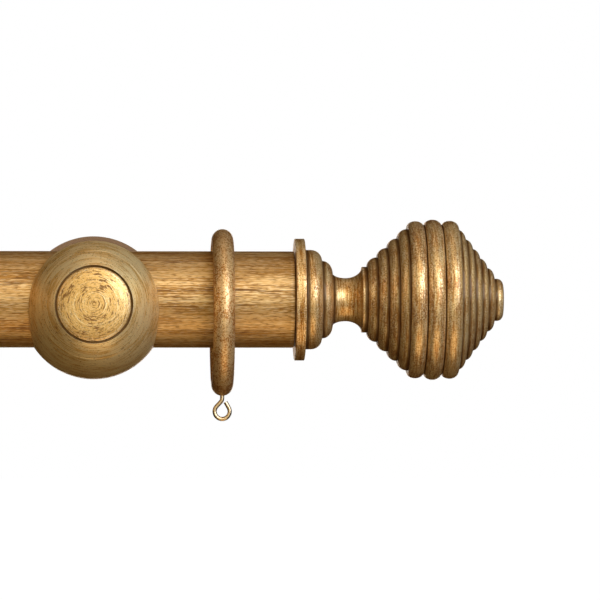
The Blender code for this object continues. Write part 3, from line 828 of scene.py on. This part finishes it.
def channel_cutter(side):
    """A U-shaped bar along X: round under the pole's axis and open to the top."""
    above = CUP_RADIUS + MM
    reach = CUP_RADIUS + 2 * MM
    outline = [(CHANNEL_RADIUS, above)]
    outline += arc((0, POLE_AXIS.z), (CHANNEL_RADIUS, CHANNEL_RADIUS), 0, -180, CHANNEL_FACETS)
    outline += [(-CHANNEL_RADIUS, above)]
    shape = bmesh.new()
    near = BRACKET_X[side] - reach
    face = shape.faces.new([shape.verts.new((near, POLE_AXIS.y + out, height)) for out, height in outline])
    grown = bmesh.ops.extrude_face_region(shape, geom=[face])["geom"]
    moved = [item for item in grown if isinstance(item, bmesh.types.BMVert)]
    bmesh.ops.translate(shape, verts=moved, vec=(2 * reach, 0, 0))
    bmesh.ops.recalc_face_normals(shape, faces=shape.faces)
    mesh = poured(shape, bpy.data.meshes.new("channel"))
    turned = mesh.attributes.new("turned", "FLOAT_VECTOR", "POINT")
    for point, vertex in zip(turned.data, mesh.vertices):
        point.vector = vertex.co
    coat(mesh, GILT["gilt_beech_cup"], SAWN)
    return show("channel_cutter", mesh)


def cut_away(name, mesh, cutters):
    """Cuts each cutter out of the mesh and returns a new plain mesh."""
    body = show("workpiece", mesh)
    for cutter in cutters:
        step = body.modifiers.new("cut", "BOOLEAN")
        step.operation = "DIFFERENCE"
        step.solver = "EXACT"
        step.object = cutter
    result = settled(body)
    for cutter in cutters:
        bpy.data.objects.remove(cutter, do_unlink=True)
    result.name = name
    result.set_sharp_from_angle(angle=SMOOTH_BELOW)
    return result


# %% Turn both cups
def cup(side, timber):
    name = f"turned_cup_{side}"
    mesh = turned_mesh(name, cup_outline(), 0.5 * MM, 0.35 * MM, from_wall(side),
                       Steps=176, Mark_depth=0.05 * MM, Mark_pitch=1.1 * MM, Mark_length=24 * MM,
                       Out_of_true=0.12 * MM, Timber=timber, Finish=GILT["gilt_beech_cup"])
    mesh.materials.append(SAWN)
    mesh = cut_away(name, mesh, [channel_cutter(side)])
    piece = show(name, mesh)
    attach(piece, "brackets")
    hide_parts(f"cup_{side}")
    print(name, len(mesh.polygons), "faces")


cup("right", 0.0)
cup("left", 1.0)


# %% [markdown]
# ## Arms and roses
#
# Behind each cup a turned arm runs back to a round rose on the wall. The arm is two collars with a long
# hollow between them, which lightens it to the eye. A brass sleeve in its back end screws on to a stud, and a
# screw from inside the cup holds its front end, so both of those holes are on the axis, in the outline.

# %% Outline of an arm
STEM_BACK = -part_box("stem_right")[1].y
STEM_FRONT = -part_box("stem_right")[0].y - SPIGOT_LENGTH
COLLAR_RADIUS = extent("stem_right").x / 2
COLLAR_LENGTH = 6.0 * MM
COLLAR_FILLET = 2.0 * MM
WAIST_RADIUS = 10.5 * MM
SLEEVE_RADIUS = extent("stem_insert_right").x / 2
SLEEVE_POCKET = 12.3 * MM
SCREW_BOTTOM = -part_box("cup_screw_right")[1].y


def stem_outline():
    bore = SCREW_RADIUS + SEAT_GAP
    outline = [(0, SCREW_BOTTOM - SEAT_GAP), (bore, SCREW_BOTTOM - SEAT_GAP)]
    outline += [(bore, STEM_FRONT + SPIGOT_LENGTH), (SPIGOT_RADIUS, STEM_FRONT + SPIGOT_LENGTH)]
    outline += [(SPIGOT_RADIUS, STEM_FRONT)]
    bead_radius = COLLAR_RADIUS - COLLAR_FILLET
    bead = (COLLAR_FILLET, COLLAR_LENGTH / 2)
    middle_height = (STEM_FRONT + STEM_BACK) / 2
    half = (STEM_FRONT - STEM_BACK) / 2 - COLLAR_LENGTH - COLLAR_FILLET
    outline += arc((bead_radius, STEM_FRONT - COLLAR_LENGTH / 2), bead, 90, -90, 16)
    outline += arc((bead_radius, middle_height), (bead_radius - WAIST_RADIUS, half), 90, 270, 32)
    outline += arc((bead_radius, STEM_BACK + COLLAR_LENGTH / 2), bead, 90, -90, 16)
    pocket = SLEEVE_RADIUS + SEAT_GAP
    pocket_end = STEM_BACK + SLEEVE_POCKET
    return outline + [(pocket, STEM_BACK), (pocket, pocket_end), (0, pocket_end)]


# %% Outline of a rose
ROSE_RADIUS = extent("rose_right").x / 2
ROSE_THICKNESS = extent("rose_right").y
ROSE_RIM = 6.0 * MM
ROSE_FACE_RADIUS = 19.0 * MM
PLATE_RADIUS = extent("wall_plate_right").x / 2
PLATE_THICKNESS = 3.0 * MM
STUD_RADIUS = 4.0 * MM


def rose_outline():
    step = (ROSE_RADIUS - ROSE_FACE_RADIUS) / 2
    rise = (ROSE_THICKNESS - ROSE_RIM) / 2
    knee = ROSE_FACE_RADIUS + step
    bore = STUD_RADIUS + SEAT_GAP
    outline = [(bore, ROSE_THICKNESS), (ROSE_FACE_RADIUS, ROSE_THICKNESS)]
    outline += arc((knee, ROSE_THICKNESS), (step, rise), 180, 270, 16)
    outline += arc((knee, ROSE_RIM), (step, rise), 90, 0, 16)
    recess = PLATE_RADIUS + SEAT_GAP
    recess_end = PLATE_THICKNESS + SEAT_GAP
    outline += [(ROSE_RADIUS, 0), (recess, 0), (recess, recess_end), (bore, recess_end)]
    return outline + [(bore, ROSE_THICKNESS)]


# %% Turn both arms and both roses
def bracket_piece(name, node, side, outline, spacing, timber):
    mesh = turned_mesh(name, outline, spacing, 0.4 * MM, from_wall(side),
                       Steps=144, Mark_depth=0.05 * MM, Mark_pitch=0.9 * MM, Mark_length=20 * MM,
                       Out_of_true=0.08 * MM, Timber=timber, Finish=GILT["gilt_beech_cup"])
    piece = show(name, mesh)
    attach(piece, "brackets")
    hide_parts(node)
    print(name, len(mesh.polygons), "faces")


for timber, side in enumerate(BRACKET_X):
    bracket_piece(f"turned_stem_{side}", f"stem_{side}", side, stem_outline(), 0.7 * MM, timber + 2)
    bracket_piece(f"turned_rose_{side}", f"rose_{side}", side, rose_outline(), 0.9 * MM, timber + 4)


# %% [markdown]
# ## The pole
#
# The pole is a straight ash dowel. Ash is open-grained: its pores run lengthwise as fine dark dashes that
# the gilding never quite fills. The same lathe makes it, with the noise stretched along the axis, so that its
# surface carries shallow lengthwise ripples. The outline also holds the screw holes in its ends.

# %% Dress the pole
POLE_EDGE = 0.6 * MM
DOWEL_RADIUS = extent("finial_screw_right").z / 2
DOWEL_REACH = extent("finial_screw_right").x / 2


def along_pole(x, sign=1):
    """Puts height 0 on the pole's axis at x, with height running along X."""
    turn = Matrix.Rotation(math.radians(90 * sign), 4, "Y")
    return Matrix.Translation((x, POLE_AXIS.y, POLE_AXIS.z)) @ turn


def pole_outline():
    length = POLE_HIGH.x - POLE_LOW.x
    bore = DOWEL_RADIUS + SEAT_GAP
    depth = DOWEL_REACH + SEAT_GAP
    outline = [(0, length - depth), (bore, length - depth), (bore, length), (POLE_RADIUS, length)]
    return outline + [(POLE_RADIUS, 0), (bore, 0), (bore, depth), (0, depth)]


def pole():
    mesh = turned_mesh("ash_pole", pole_outline(), 2.4 * MM, POLE_EDGE, along_pole(POLE_LOW.x),
                       Steps=176, Mark_depth=0.10 * MM, Mark_pitch=60 * MM, Mark_length=3.0 * MM,
                       Out_of_true=0.06 * MM, Timber=4.0, Finish=GILT["gilt_ash_pole"])
    piece = show("ash_pole", mesh)
    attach(piece, "pole")
    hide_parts("pole")
    print("ash_pole", len(mesh.polygons), "faces")


pole()


# %% [markdown]
# ## The finials
#
# A finial starts with a flange that covers the pole's end. Two quarter rounds and a deep hollow narrow it to
# a waist, and then it opens into a ribbed ball: four steps up, three full beads, five steps down and a small
# knob. The steps are one quarter round repeated, each a set distance further and larger or smaller, which is
# just what instances do. So a small tree draws one step and copies it, and the outline takes up its points.

# %% Sockets of the rib tree
RIB_SOCKETS = {
    "Ribs": ("Int", 4),
    "Points": ("Int", 12),
    "Pitch": ("Float", 5 * MM),
    "Depth": ("Float", 5 * MM),
    "Radial step": ("Float", 5 * MM),
    "From angle": ("Float", 0.0),
    "Centre": ("Vector", None),
    "Finish": ("Material", None),
}


def rib_tree():
    tree, given = new_tree("ribs", RIB_SOCKETS)
    line = add_node(tree, "GeometryNodeMeshLine", {"Count": given["Points"]})
    share = add_node(tree, "GeometryNodeInputIndex") / (given["Points"] - 1)
    angle = given["From angle"] + share * (math.pi / 2)
    outwards = angle.op("COSINE") * given["Depth"]
    upwards = angle.op("SINE") * given["Pitch"]
    curve = add_node(tree, "ShaderNodeCombineXYZ", {"X": outwards, "Z": upwards})
    rib = add_node(tree, "GeometryNodeSetPosition", {0: line, "Position": curve})
    step = add_node(tree, "ShaderNodeCombineXYZ", {"X": given["Radial step"], "Z": given["Pitch"]})
    places = add_node(tree, "GeometryNodeMeshLine", {
        "Count": given["Ribs"], "Start Location": given["Centre"], "Offset": step})
    ribs = add_node(tree, "GeometryNodeInstanceOnPoints", {"Points": places, "Instance": rib})
    return end_tree(tree, ribs, given["Finish"])


RIBS = rib_tree()


def rib_points(**values):
    """The ribs' points in order, as (radius, height)."""
    mesh = run_tree(show("ribs", bpy.data.meshes.new("ribs")), RIBS, **values)
    return [(vertex.co.x, vertex.co.z) for vertex in mesh.vertices]


# %% Sizes of a finial, from its flange outwards
FLANGE_RADIUS = POLE_RADIUS + 6.6 * MM
FLANGE_THICKNESS = 5.2 * MM
FLANGE_STEP = (28.0 * MM, FLANGE_THICKNESS)
COVE = (25.8 * MM, 5.8 * MM)
UPPER_ROUND = (25.8 * MM, 8.5 * MM, 5.1 * MM, 5.7 * MM)     # radius, height, then how far in and how long
LOWER_ROUND = (20.1 * MM, 14.6 * MM, 6.1 * MM, 5.2 * MM)
FINIAL_WAIST = (11.24 * MM, 26.5 * MM)
FILLET = (17.1 * MM, 34.8 * MM)
RIBS_START = 37.4 * MM
LEFT_RIBS = 4
LEFT_PITCH = 5.25 * MM
LEFT_RISE = 4.9 * MM
BEAD_BASE = 38.0 * MM
BEADS = ((8.5 * MM, 40.8 * MM), (9.3 * MM, 41.6 * MM), (8.6 * MM, 41.0 * MM))    # width, crest radius
RIGHT_RIBS = 5
RIGHT_PITCH = 3.78 * MM
RIGHT_START = 36.3 * MM
RIGHT_FALL = 4.94 * MM
KNOB_RADIUS = 11.0 * MM
KNOB_LENGTH = 4.6 * MM
KNOB_EDGE = 3.2 * MM
RIB_POINTS = 12


# %% Outline of a finial
def quarter_round(radius, height, inwards, length):
    return arc((radius - inwards, height), (inwards, length), 0, 90, 14)


def finial_neck():
    """From the flange to the fillet under the ribs."""
    points = [(FLANGE_RADIUS, 0), (FLANGE_RADIUS, FLANGE_THICKNESS), FLANGE_STEP, COVE]
    points += quarter_round(*UPPER_ROUND) + quarter_round(*LOWER_ROUND)
    radius, height = points[-1]
    waist, waist_height = FINIAL_WAIST
    fillet, fillet_height = FILLET
    points += arc((radius, waist_height), (radius - waist, waist_height - height), 270, 180, 16)
    points += arc((fillet, waist_height), (fillet - waist, fillet_height - waist_height), 180, 90, 16)
    return points + [(fillet, RIBS_START)]


def finial_outline():
    points = finial_neck()
    points += rib_points(Ribs=LEFT_RIBS, Points=RIB_POINTS, Pitch=LEFT_PITCH, Depth=LEFT_RISE,
                         Radial_step=LEFT_RISE, From_angle=math.radians(270),
                         Centre=(FILLET[0], 0, RIBS_START + LEFT_PITCH))
    height = RIBS_START + LEFT_RIBS * LEFT_PITCH
    for width, crest in BEADS:
        points += arc((BEAD_BASE, height + width / 2), (crest - BEAD_BASE, width / 2), -90, 90, 22)
        height += width
    points += rib_points(Ribs=RIGHT_RIBS, Points=RIB_POINTS, Pitch=RIGHT_PITCH, Depth=RIGHT_FALL,
                         Radial_step=-RIGHT_FALL, From_angle=0.0,
                         Centre=(RIGHT_START - RIGHT_FALL, 0, height))
    height += RIGHT_RIBS * RIGHT_PITCH
    end = height + KNOB_LENGTH
    points += [(KNOB_RADIUS, height)]
    points += arc((KNOB_RADIUS - KNOB_EDGE, end - KNOB_EDGE), (KNOB_EDGE, KNOB_EDGE), 0, 90, 10)
    points += [(0, end)]
    bore = DOWEL_RADIUS + SEAT_GAP
    return points[::-1] + [(bore, 0), (bore, DOWEL_REACH), (0, DOWEL_REACH)]


# %% Turn both finials
def finial(side, sign, timber):
    name = f"ribbed_finial_{side}"
    low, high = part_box(f"finial_{side}")
    place = along_pole(low.x if sign > 0 else high.x, sign)
    mesh = turned_mesh(name, finial_outline(), 0.60 * MM, 0.45 * MM, place,
                       Steps=152, Mark_depth=0.05 * MM, Mark_pitch=1.0 * MM, Mark_length=16 * MM,
                       Out_of_true=0.10 * MM, Timber=timber, Finish=GILT["gilt_beech_finial"])
    piece = show(name, mesh)
    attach(piece, "pole")
    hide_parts(f"finial_{side}")
    print(name, len(mesh.polygons), "faces")


finial("right", 1, 6.0)
finial("left", -1, 7.0)


# %% [markdown]
# ## Rings and screw eyes
#
# A curtain ring is a round section bent into a circle: a path and a profile, as Curve to Mesh takes them.
# The same tree makes the screw eye, whose path is a wire that drops from the ring and curls round almost to
# where it started. Each ring is its own body in the frame, so each is made as its own mesh, with its own
# number for the timber so that no two rings carry the same speckles.

# %% Sweep a round section along a path
SWEEP_SOCKETS = {
    "Radius": ("Float", 5.6 * MM),
    "Sides": ("Int", 28),
    "Out of true": ("Float", 0.0),
    "Timber": ("Float", 0.0),
    "Finish": ("Material", None),
}
WAVE_LENGTH = 9 * MM       # size of the waves on a ring


def sweep_tree():
    tree, given = new_tree("swept round", SWEEP_SOCKETS)
    path = add_node(tree, "GeometryNodeMeshToCurve", {0: given["Geometry"]})
    section = add_node(tree, "GeometryNodeCurvePrimitiveCircle", {
        "Resolution": given["Sides"], "Radius": given["Radius"]})
    shape = add_node(tree, "GeometryNodeCurveToMesh", {
        "Curve": path, "Profile Curve": section, "Fill Caps": True})
    shift = add_node(tree, "ShaderNodeCombineXYZ", {"Z": given["Timber"] * TIMBER_STEP})
    spot = add_node(tree, "GeometryNodeInputPosition")
    own = add_node(tree, "ShaderNodeVectorMath", {0: spot, 1: shift}, operation="ADD")
    shape = add_node(tree, "GeometryNodeStoreNamedAttribute", {
        0: shape, "Name": "turned", "Value": own}, data_type="FLOAT_VECTOR", domain="POINT")
    noise = add_node(tree, "ShaderNodeTexNoise", {"Vector": own, "Scale": 1 / WAVE_LENGTH, "Detail": 1.0})
    lift = (noise - (0.5 + NOISE_REACH)) * given["Out of true"]
    normal = add_node(tree, "GeometryNodeInputNormal")
    offset = add_node(tree, "ShaderNodeVectorMath", {0: normal, "Scale": lift}, operation="SCALE")
    shape = add_node(tree, "GeometryNodeSetPosition", {0: shape, "Offset": offset})
    return end_tree(tree, shape, given["Finish"])


SWEEP = sweep_tree()


def swept_mesh(name, points, closed, **values):
    """Sweeps a round section along the points."""
    count = len(points)
    edges = [(i, (i + 1) % count) for i in range(count if closed else count - 1)]
    path = bpy.data.meshes.new(name)
    path.from_pydata(points, edges, [])
    mesh = tidied(run_tree(show(name, path), SWEEP, **values))
    mesh.name = name
    return mesh


# %% [markdown]
# ### Metal finishes
#
# The eyes are brass wire, drawn and left bright, with a brown tarnish starting in patches. The plate on the
# wall is steel, zinc plated, which shows soft grey-blue flakes of crystal. Screws have a brighter zinc coat.

# %% Metals
METALS = {
    # name: (colour, tarnish, share of tarnish, roughness, patch size in mm, streak in mm)
    "drawn_brass_wire": ("#D9C4A0", "#8E6C42", 0.30, 0.30, (2.4, 2.4, 2.4), (0.5, 0.5, 4.0)),
    "turned_brass": ("#D8B877", "#8A6536", 0.36, 0.28, (3.0, 3.0, 3.0), (6.0, 0.4, 6.0)),
    "zinc_plated_steel": ("#C9CCCB", "#8B9092", 0.46, 0.48, (4.0, 4.0, 4.0), (9.0, 0.5, 9.0)),
    "bright_zinc_screw": ("#D5D2C8", "#9C9686", 0.40, 0.26, (1.5, 1.5, 1.5), (2.0, 0.3, 2.0)),
}
TARNISH_EDGE = 0.22
TARNISH_STRENGTH = 0.8
TARNISH_ROUGHNESS = 0.16      # added where the metal has tarnished
STREAK_ROUGHNESS = 0.10       # and along the marks of drawing or turning
STREAK_DEPTH = 0.008 * MM


def metal(name, colour, tarnish, share, roughness, patch, streak):
    material, tree = new_material(name)
    where = add_node(tree, "ShaderNodeTexCoord")["Object"]
    lines = patches(tree, where, streak, 2.0)
    clean = patches(tree, where, patch, 3.0)
    dull = add_node(tree, "ShaderNodeMapRange", {
        0: 1.0 - clean, 1: 1 - share, 2: 1 - share + TARNISH_EDGE}, **SMOOTH)
    base = add_node(tree, "ShaderNodeMix", {
        0: dull * TARNISH_STRENGTH, 6: linear(colour), 7: linear(tarnish)}, data_type="RGBA")[2]
    bump = add_node(tree, "ShaderNodeBump", {"Height": lines, "Distance": STREAK_DEPTH})
    end_material(tree, {"Base Color": base, "Metallic": 1.0, "Normal": bump,
                        "Roughness": dull * TARNISH_ROUGHNESS + lines * STREAK_ROUGHNESS + roughness})
    return material


METAL = {name: metal(name, *look) for name, look in METALS.items()}
print("metals:", ", ".join(METAL))


# %% Sizes of a ring and its eye
RING_SECTION = extent("ring_01").x / 2
RING_OUTER = 43.2 * MM
RING_MAJOR = RING_OUTER - RING_SECTION
RING_INNER = RING_MAJOR - RING_SECTION
RING_CENTRE_Z = POLE_AXIS.z + CHANNEL_RADIUS - RING_INNER
RING_STEPS = 144
RING_BOTTOM = RING_CENTRE_Z - RING_OUTER
WIRE_RADIUS = extent("screw_eye_01").y / 2
EYE_LOOP = 3.9 * MM
EYE_NECK = 2.6 * MM
EYE_DROP = 8.3 * MM
EYE_SHANK = 8.0 * MM
EYE_END = 390                       # degrees, where the wire leaves the loop for the neck
EYE_TIP = (1.7 * MM, -0.8 * MM)     # its open end, beside the neck
WIRE_BEND = 1.2 * MM
NEAREST = 0.05 * MM                 # points on the wire's path are further apart than this
PILOT_CLEARANCE = 0.1 * MM
print("ring:", round(2 * RING_OUTER / MM, 1), "mm across; wire:", round(2 * WIRE_RADIUS / MM, 1), "mm")


# %% The eye's path
def rounded(path, reach, count):
    """Replaces each inner point by a smooth bend that starts and ends reach from it."""
    smooth = [path[0]]
    for before, corner, after in zip(path, path[1:], path[2:]):
        start = corner + (before - corner).normalized() * min(reach, (before - corner).length / 2)
        end = corner + (after - corner).normalized() * min(reach, (after - corner).length / 2)
        smooth += bend(start, corner, end, count)
    return smooth + [path[-1]]


def eye_path(x, bottom):
    """The wire's middle line: down out of the ring, round the loop, and up to the neck again."""
    neck = Vector((x, POLE_AXIS.y, bottom - EYE_NECK))
    tangent = math.degrees(math.acos(EYE_LOOP / (EYE_DROP - EYE_NECK)))
    path = [Vector((x, POLE_AXIS.y, bottom + EYE_SHANK)), neck]
    for across, height in arc((x, bottom - EYE_DROP), (EYE_LOOP, EYE_LOOP), 90 + tangent, EYE_END, 40):
        path.append(Vector((across, POLE_AXIS.y, height)))
    path.append(neck + Vector((EYE_TIP[0], 0, EYE_TIP[1])))
    return without_repeats(rounded(path, WIRE_BEND, 5), NEAREST)


# %% Bend the rings and the eyes
def pilot_hole(x):
    """Cutter for the eye's hole in the bottom of a ring."""
    top = Vector((x, POLE_AXIS.y, RING_BOTTOM + EYE_SHANK + SEAT_GAP))
    end = Vector((x, POLE_AXIS.y, RING_BOTTOM - MM))
    mesh = swept_mesh("pilot", [end, end.lerp(top, 0.5), top], False,
                      Radius=WIRE_RADIUS + PILOT_CLEARANCE, Sides=16, Finish=GILT["gilt_beech_ring"])
    return show("pilot", mesh)


def ring(number, node):
    x = middle(node).x
    name = f"wooden_ring_{number:02d}"
    points = []
    for i in range(RING_STEPS):
        angle = math.tau * i / RING_STEPS
        height = RING_CENTRE_Z + RING_MAJOR * math.cos(angle)
        points.append(Vector((x, POLE_AXIS.y + RING_MAJOR * math.sin(angle), height)))
    mesh = swept_mesh(name, points, True, Radius=RING_SECTION, Sides=28, Out_of_true=0.12 * MM,
                      Timber=float(number), Finish=GILT["gilt_beech_ring"])
    piece = show(name, cut_away(name, mesh, [pilot_hole(x)]))
    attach(piece, node)
    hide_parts(node)

    eye_node = f"screw_eye_{number:02d}"
    eye_name = f"wire_eye_{number:02d}"
    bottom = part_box(eye_node)[0].z + EYE_DROP + EYE_LOOP + WIRE_RADIUS
    wire = swept_mesh(eye_name, eye_path(x, bottom), False,
                      Radius=WIRE_RADIUS, Sides=14, Finish=METAL["drawn_brass_wire"])
    eye = show(eye_name, wire)
    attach(eye, node)
    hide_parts(eye_node)


for number, node in enumerate(RING_NODES, start=1):
    ring(number, node)
print(len(RING_NODES), "rings and", len(RING_NODES), "eyes")


# %% [markdown]
# ## Plates and screws
#
# The back of each rose hides a steel plate with three countersunk holes and a threaded stud. It shows only
# from behind, and a screw head shows in each cup when the pole is lifted out, so both are made in full. Their
# threads are rings and not a helix, which at this size looks the same. The sleeve in the arm and the screw
# inside each finial never show, so the frame's own nodes stay, with a proper metal on them.

# %% Threads and countersinks
THREAD_PITCH = 1.25 * MM
THREAD_DEPTH = 0.6 * MM
THREAD_CREST = (0.45, 0.55)    # where the flat crest starts and ends, as a share of the pitch


def threaded(radius, start, end):
    """Points down a threaded rod from height start to end."""
    root = radius - THREAD_DEPTH
    points = []
    turns = int((start - end) / THREAD_PITCH)
    for i in range(turns):
        top = start - i * THREAD_PITCH
        points.append((root, top))
        points += [(radius, top - share * THREAD_PITCH) for share in THREAD_CREST]
    return points + [(root, start - turns * THREAD_PITCH), (root, end)]


def plain_turned(name, outline, spacing, place, finish, steps=96):
    return turned_mesh(name, outline, spacing, 0.12 * MM, place, Steps=steps, Mark_depth=0.0,
                       Out_of_true=0.0, Finish=finish)


# %% Wall plates
PLATE_HOLES = 3
PLATE_HOLE_CIRCLE = 16.0 * MM
PLATE_HOLE_RADIUS = 2.4 * MM
COUNTERSINK = 1.6 * MM
STUD_POINT = 0.8 * MM         # the bevel at the stud's end
STUD_COLLAR = 2.0 * MM        # the thread ends this far above the plate


def wall_plate(side):
    name = f"steel_plate_{side}"
    steel = METAL["zinc_plated_steel"]
    reach = -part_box(f"wall_plate_{side}")[0].y
    outline = [(0, reach), (STUD_RADIUS - STUD_POINT, reach)]
    outline += threaded(STUD_RADIUS, reach - STUD_POINT, PLATE_THICKNESS + STUD_COLLAR)
    outline += [(STUD_RADIUS, PLATE_THICKNESS + 0.8 * STUD_COLLAR), (STUD_RADIUS, PLATE_THICKNESS)]
    outline += [(PLATE_RADIUS, PLATE_THICKNESS), (PLATE_RADIUS, 0), (0, 0)]
    mesh = plain_turned(name, outline, 1.5 * MM, from_wall(side), steel)
    sink = PLATE_HOLE_RADIUS + COUNTERSINK
    hole = [(0, PLATE_THICKNESS + MM), (sink, PLATE_THICKNESS + MM), (sink, PLATE_THICKNESS)]
    hole += [(PLATE_HOLE_RADIUS, PLATE_THICKNESS - COUNTERSINK), (PLATE_HOLE_RADIUS, -MM), (0, -MM)]
    cutters = []
    for i in range(PLATE_HOLES):
        angle = math.radians(90) + math.tau * i / PLATE_HOLES
        shift = (PLATE_HOLE_CIRCLE * math.cos(angle), 0, PLATE_HOLE_CIRCLE * math.sin(angle))
        place = Matrix.Translation(shift) @ from_wall(side)
        cutters.append(show("hole", plain_turned("hole", hole, 2 * MM, place, steel, steps=40)))
    piece = show(name, cut_away(name, mesh, cutters))
    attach(piece, "brackets")
    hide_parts(f"wall_plate_{side}")
    print(name, len(piece.data.polygons), "faces")


for side in BRACKET_X:
    wall_plate(side)

# %% Cup screws
CROSS_WIDTH = 1.1 * MM
CROSS_LENGTH = 4.6 * MM
CROSS_DEPTH = 1.7 * MM
SCREW_HEAD_DEPTH = 2.6 * MM
SCREW_POINT = 4.0 * MM
RECESS_TAPER = 0.55
CROSS_ANGLES = (35, 125)    # degrees, as the driver happened to leave it
SCREW_TIP = 0.3 * MM


def cross_bar(angle, place):
    """One bar of the cross recess, narrower at its bottom."""
    shape = bmesh.new()
    bmesh.ops.create_cube(shape, size=1.0)
    for corner in shape.verts:
        narrow = RECESS_TAPER if corner.co.z < 0 else 1.0
        corner.co.x *= CROSS_LENGTH * narrow
        corner.co.y *= CROSS_WIDTH * narrow
        corner.co.z *= 2 * CROSS_DEPTH
    mesh = poured(shape, bpy.data.meshes.new("cross"))
    mesh.materials.append(METAL["bright_zinc_screw"])
    mesh.transform(place @ Matrix.Rotation(angle, 4, "Z"))
    return show("cross", mesh)


def cup_screw(side):
    name = f"cross_head_screw_{side}"
    low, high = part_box(f"cup_screw_{side}")
    head, tip = -low.y, -high.y
    outline = [(0, head), (SCREW_HEAD, head), (SCREW_RADIUS, head - SCREW_HEAD_DEPTH)]
    outline += threaded(SCREW_RADIUS, head - SCREW_HEAD_DEPTH - MM, tip + SCREW_POINT)
    outline += [(SCREW_TIP, tip), (0, tip)]
    mesh = plain_turned(name, outline, MM, from_wall(side), METAL["bright_zinc_screw"], steps=40)
    face = from_wall(side) @ Matrix.Translation((0, 0, head))
    bars = [cross_bar(math.radians(angle), face) for angle in CROSS_ANGLES]
    piece = show(name, cut_away(name, mesh, bars))
    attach(piece, "brackets")
    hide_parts(f"cup_screw_{side}")
    print(name, len(piece.data.polygons), "faces")


for side in BRACKET_X:
    cup_screw(side)

# %% Metals for the frame's own nodes that stay
KEPT = {"stem_insert": "turned_brass", "finial_screw": "bright_zinc_screw"}
for stem_name, finish in KEPT.items():
    for side in BRACKET_X:
        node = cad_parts[f"{stem_name}_{side}"]
        node.data.materials.clear()
        node.data.materials.append(METAL[finish])
print("frame nodes kept:", ", ".join(KEPT))
